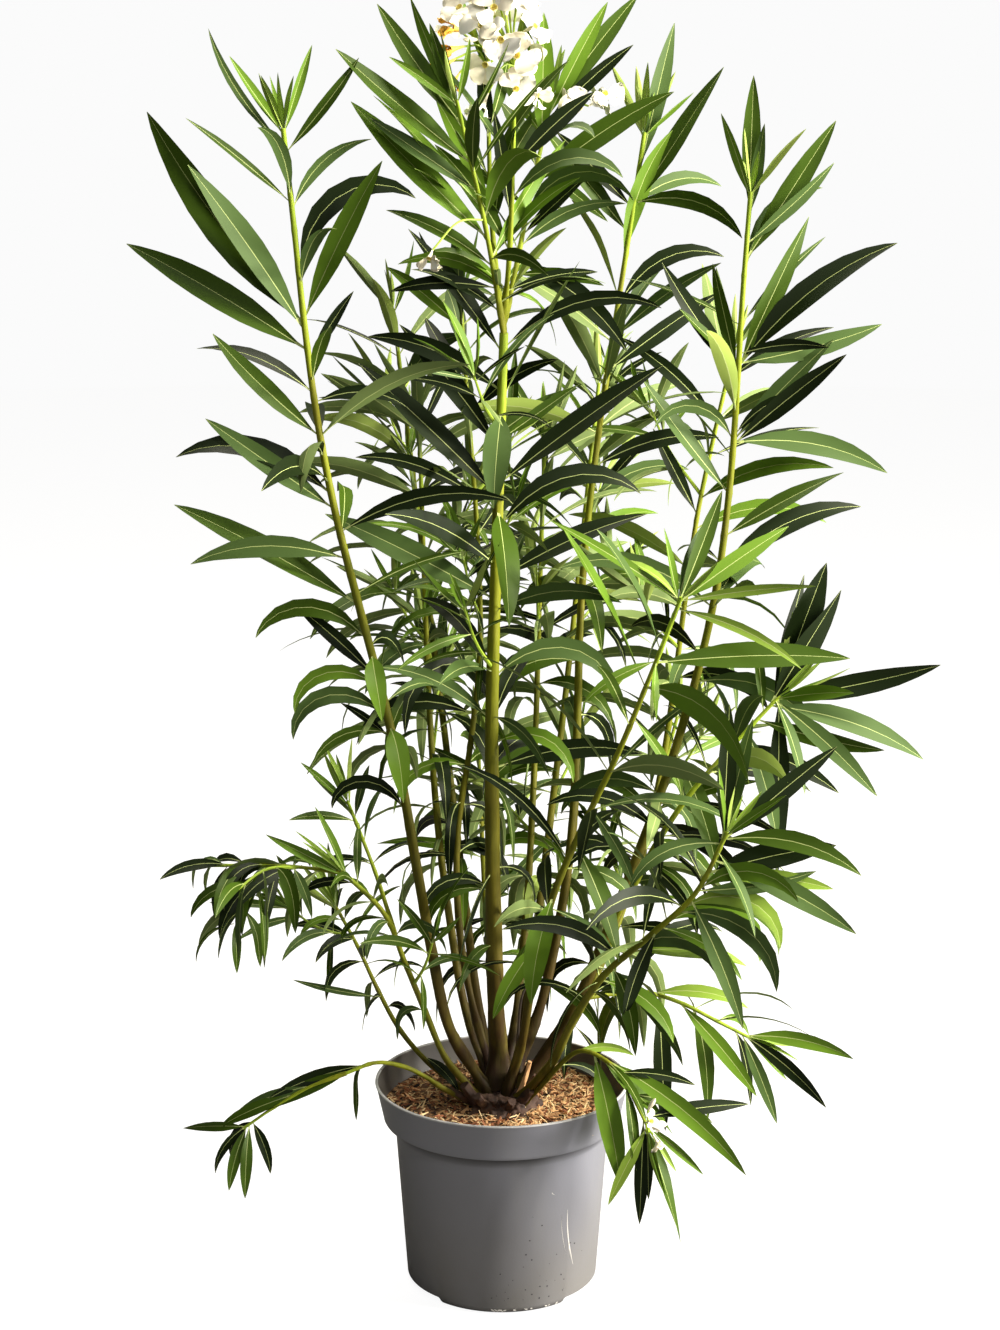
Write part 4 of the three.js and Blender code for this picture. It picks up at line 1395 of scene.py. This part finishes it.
# A bloom on the +Z axis: a funnel, and five blades set like a pinwheel on its mouth.
def bloomShapes(rng, opening):
    sides = bloom["sides"][0]
    corners, faces = skin(lathe(bloom["tube"], sides) * mm)
    shapes = [(corners, faces, [1] * 3 * sides + [2] * (len(faces) - 3 * sides))]
    for k in range(bloom["petals"]):
        angle = 2 * math.pi * k / bloom["petals"] + rng.normal(0, 0.12)
        out, side = heading(math.degrees(angle), 0), heading(math.degrees(angle) + 90, 0)
        spread = math.radians(rng.uniform(*bloom["spread"]) + bloom["closed"] * (1 - opening))
        reach = math.cos(spread) * out + level(math.sin(spread))
        above = np.cross(reach, side)
        curl, wave = rng.uniform(0, bloom["curl"]), rng.uniform(0, 6)
        rows = []
        for t, width in zip(bloom["petalRows"], bloom["petalWidth"]):
            middle = out * bloom["mouth"][0] + level(bloom["mouth"][1] - curl * t**2)
            middle = middle + reach * bloom["long"] * t + side * bloom["pinwheel"] * t
            half = side * bloom["wide"] * width * (0.55 + 0.45 * opening)
            ruffle = above * bloom["ruffle"] * t**0.7
            thin = above * bloom["thin"]
            rows.append([
                middle - half + ruffle * math.sin(wave + 7 * t), middle - half / 2 - thin, middle - thin,
                middle + half / 2 - thin, middle + half + ruffle * math.sin(wave + 2 + 8 * t),
                middle + half / 2 + thin, middle - half / 2 + thin,
            ])
        corners, faces = skin(np.array(rows) * mm)
        shapes.append((corners, faces, [int(rng.random() < bloom["shaded"])] * len(faces)))
    return shapes


def turnedTo(corners, spot, direction, spin):
    ahead = unit(direction)
    side = unit(np.cross(ahead, [0, 0, 1] if abs(ahead[2]) < 0.9 else [1, 0, 0]))
    other = np.cross(ahead, side)
    c, s = math.cos(spin), math.sin(spin)
    axes = np.array([c * side + s * other, c * other - s * side, ahead])
    return spot + corners @ axes


def addBloom(spot, direction, size, rng, kind):
    for corners, faces, finish in bloomShapes(rng, bloom["opening"][kind]):
        if kind == "faded":
            finish = [3] * len(faces)
        flowers.add(turnedTo(corners * size, spot, direction, rng.uniform(0, 6)), faces, finish)


def addBud(spot, direction, size, rng, finish):
    corners, faces = skin(lathe(bloom["bud"], bloom["sides"][1]) * size * mm)
    flowers.add(turnedTo(corners, spot, direction, rng.uniform(0, 6)), faces, finish)


def addStalk(points, radius):
    line = smoothLine(points, [radius * mm] * len(points), 5)
    stalks.add(*tube(line["points"], line["radii"], 6), 0)


# Blossom: limb, place from its tip in mm, the bearing and rise it looks to, size, kind.
blossom = [
    ("bough_crown_front", (1, -10, 58), (-70, 40), 1.0, "open"),
    ("bough_crown_front", (-30, -20, 36), (-100, 15), 1.05, "open"),
    ("bough_crown_front", (-1, -24, 8), (-80, 10), 1.05, "open"),
    ("bough_crown_front", (-5, -18, -18), (-65, -15), 0.95, "open"),
    ("bough_crown_front", (-27, -18, -26), (-130, -55), 0.95, "half"),
    ("bough_crown_front", (-49, -14, 48), (-125, 40), 0.95, "open"),
    ("bough_crown_front", (13, -6, -24), (-35, -20), 0.8, "half"),
    ("bough_crown_front", (-17, -10, 64), (-100, 65), 1.0, "open"),
    ("bough_crown_front", (9, -14, 34), (-40, 20), 0.95, "open"),
    ("bough_crown_front", (-13, -30, 24), (-95, 5), 1.0, "open"),
    ("bough_crown_front", (-21, -24, 50), (-90, 25), 1.0, "open"),
    ("bough_crown_front", (-25, -22, 4), (-110, -10), 0.9, "open"),
    ("bough_crown_front", (-9, 20, 50), (80, 35), 1.0, "open"),
    ("bough_crown_front", (5, 18, 20), (40, 15), 0.95, "open"),
    ("bough_crown_front", (-31, 14, 56), (140, 55), 0.95, "open"),
    ("bough_crown_front", (-37, -18, 26), (-140, 0), 0.9, "bud"),
    ("bough_crown_front", (-7, -6, 70), (-60, 80), 0.9, "bud"),
    ("bough_crown_back", (-20, -18, 34), (-165, 15), 0.95, "faded"),
    ("bough_crown_back", (-24, -20, 20), (-150, -12), 1.0, "faded"),
    ("bough_crown_back", (-32, -18, 8), (-160, -28), 0.9, "faded"),
    ("bough_crown_back", (-28, -16, -6), (-140, -50), 0.6, "faded"),
    ("bough_crown_back", (-26, 16, 34), (140, 40), 0.95, "open"),
    ("bough_crown_back", (-6, 22, 30), (100, 40), 1.0, "open"),
    ("bough_crown_back", (-2, -16, 22), (-90, 50), 0.9, "green"),
    ("bough_crown_back", (4, -18, 14), (-70, 40), 0.8, "green"),
    ("bough_crown_back", (-10, -16, 26), (-140, 60), 0.9, "green"),
    ("bough_crown_back", (2, -20, 28), (-110, 70), 0.8, "green"),
    ("bough_crown_back", (-62, -4, 2), (-170, 20), 0.7, "half"),
    ("bough_crown_right", (27, -18, -12), (-85, 20), 0.95, "open"),
    ("bough_crown_right", (49, -10, 0), (-60, 30), 0.95, "open"),
    ("bough_crown_right", (39, 10, -6), (20, 25), 0.85, "open"),
    ("bough_crown_right", (15, -6, -2), (-110, 60), 0.8, "bud"),
    ("bough_crown_left", (-24, -26, -146), (-110, -40), 0.75, "half"),
    ("stem_over_right", (-4, -10, 12), (-60, 25), 0.75, "half"),
    ("stem_over_right", (4, -4, -4), (-40, -50), 0.6, "half"),
    ("stem_over_right", (-2, -6, 24), (-20, 60), 0.8, "bud"),
]


def growBlossom(seed):
    rng = np.random.default_rng(seed)
    for name, offset, look, size, kind in blossom:
        direction = heading(*look)
        tip, ahead, _ = spotOn(lines[name], 1)
        spot = tip + np.array(offset) * mm
        # One outside the cluster stands on the limb beside it.
        if math.dist(spot, tip) > bloom["farthest"] * mm:
            near = lines[name]["points"]
            tip = near[np.linalg.norm(near - spot, axis=1).argmin()]
        middle = (tip + spot) / 2 + (ahead - direction) * bloom["bow"] * mm
        addStalk([tip, middle, spot], bloom["stalk"])
        if kind in bloom["opening"]:
            addBloom(spot, direction, size, rng, kind)
        else:
            addBud(spot, direction, size, rng, 1 if kind == "bud" else 4)


growBlossom(71)
petalFinishes = [finishes[key] for key in ("petal", "petalShade", "throat", "faded", "twig")]
settle(flowers.piece("blossom", petalFinishes), "blossom")
settle(stalks.piece("blossom_stalks", [finishes["twig"]]), "blossom")
settle(twigs.piece("side_twigs", [finishes["twig"]]), "shoot")
print("blossom and twigs made")
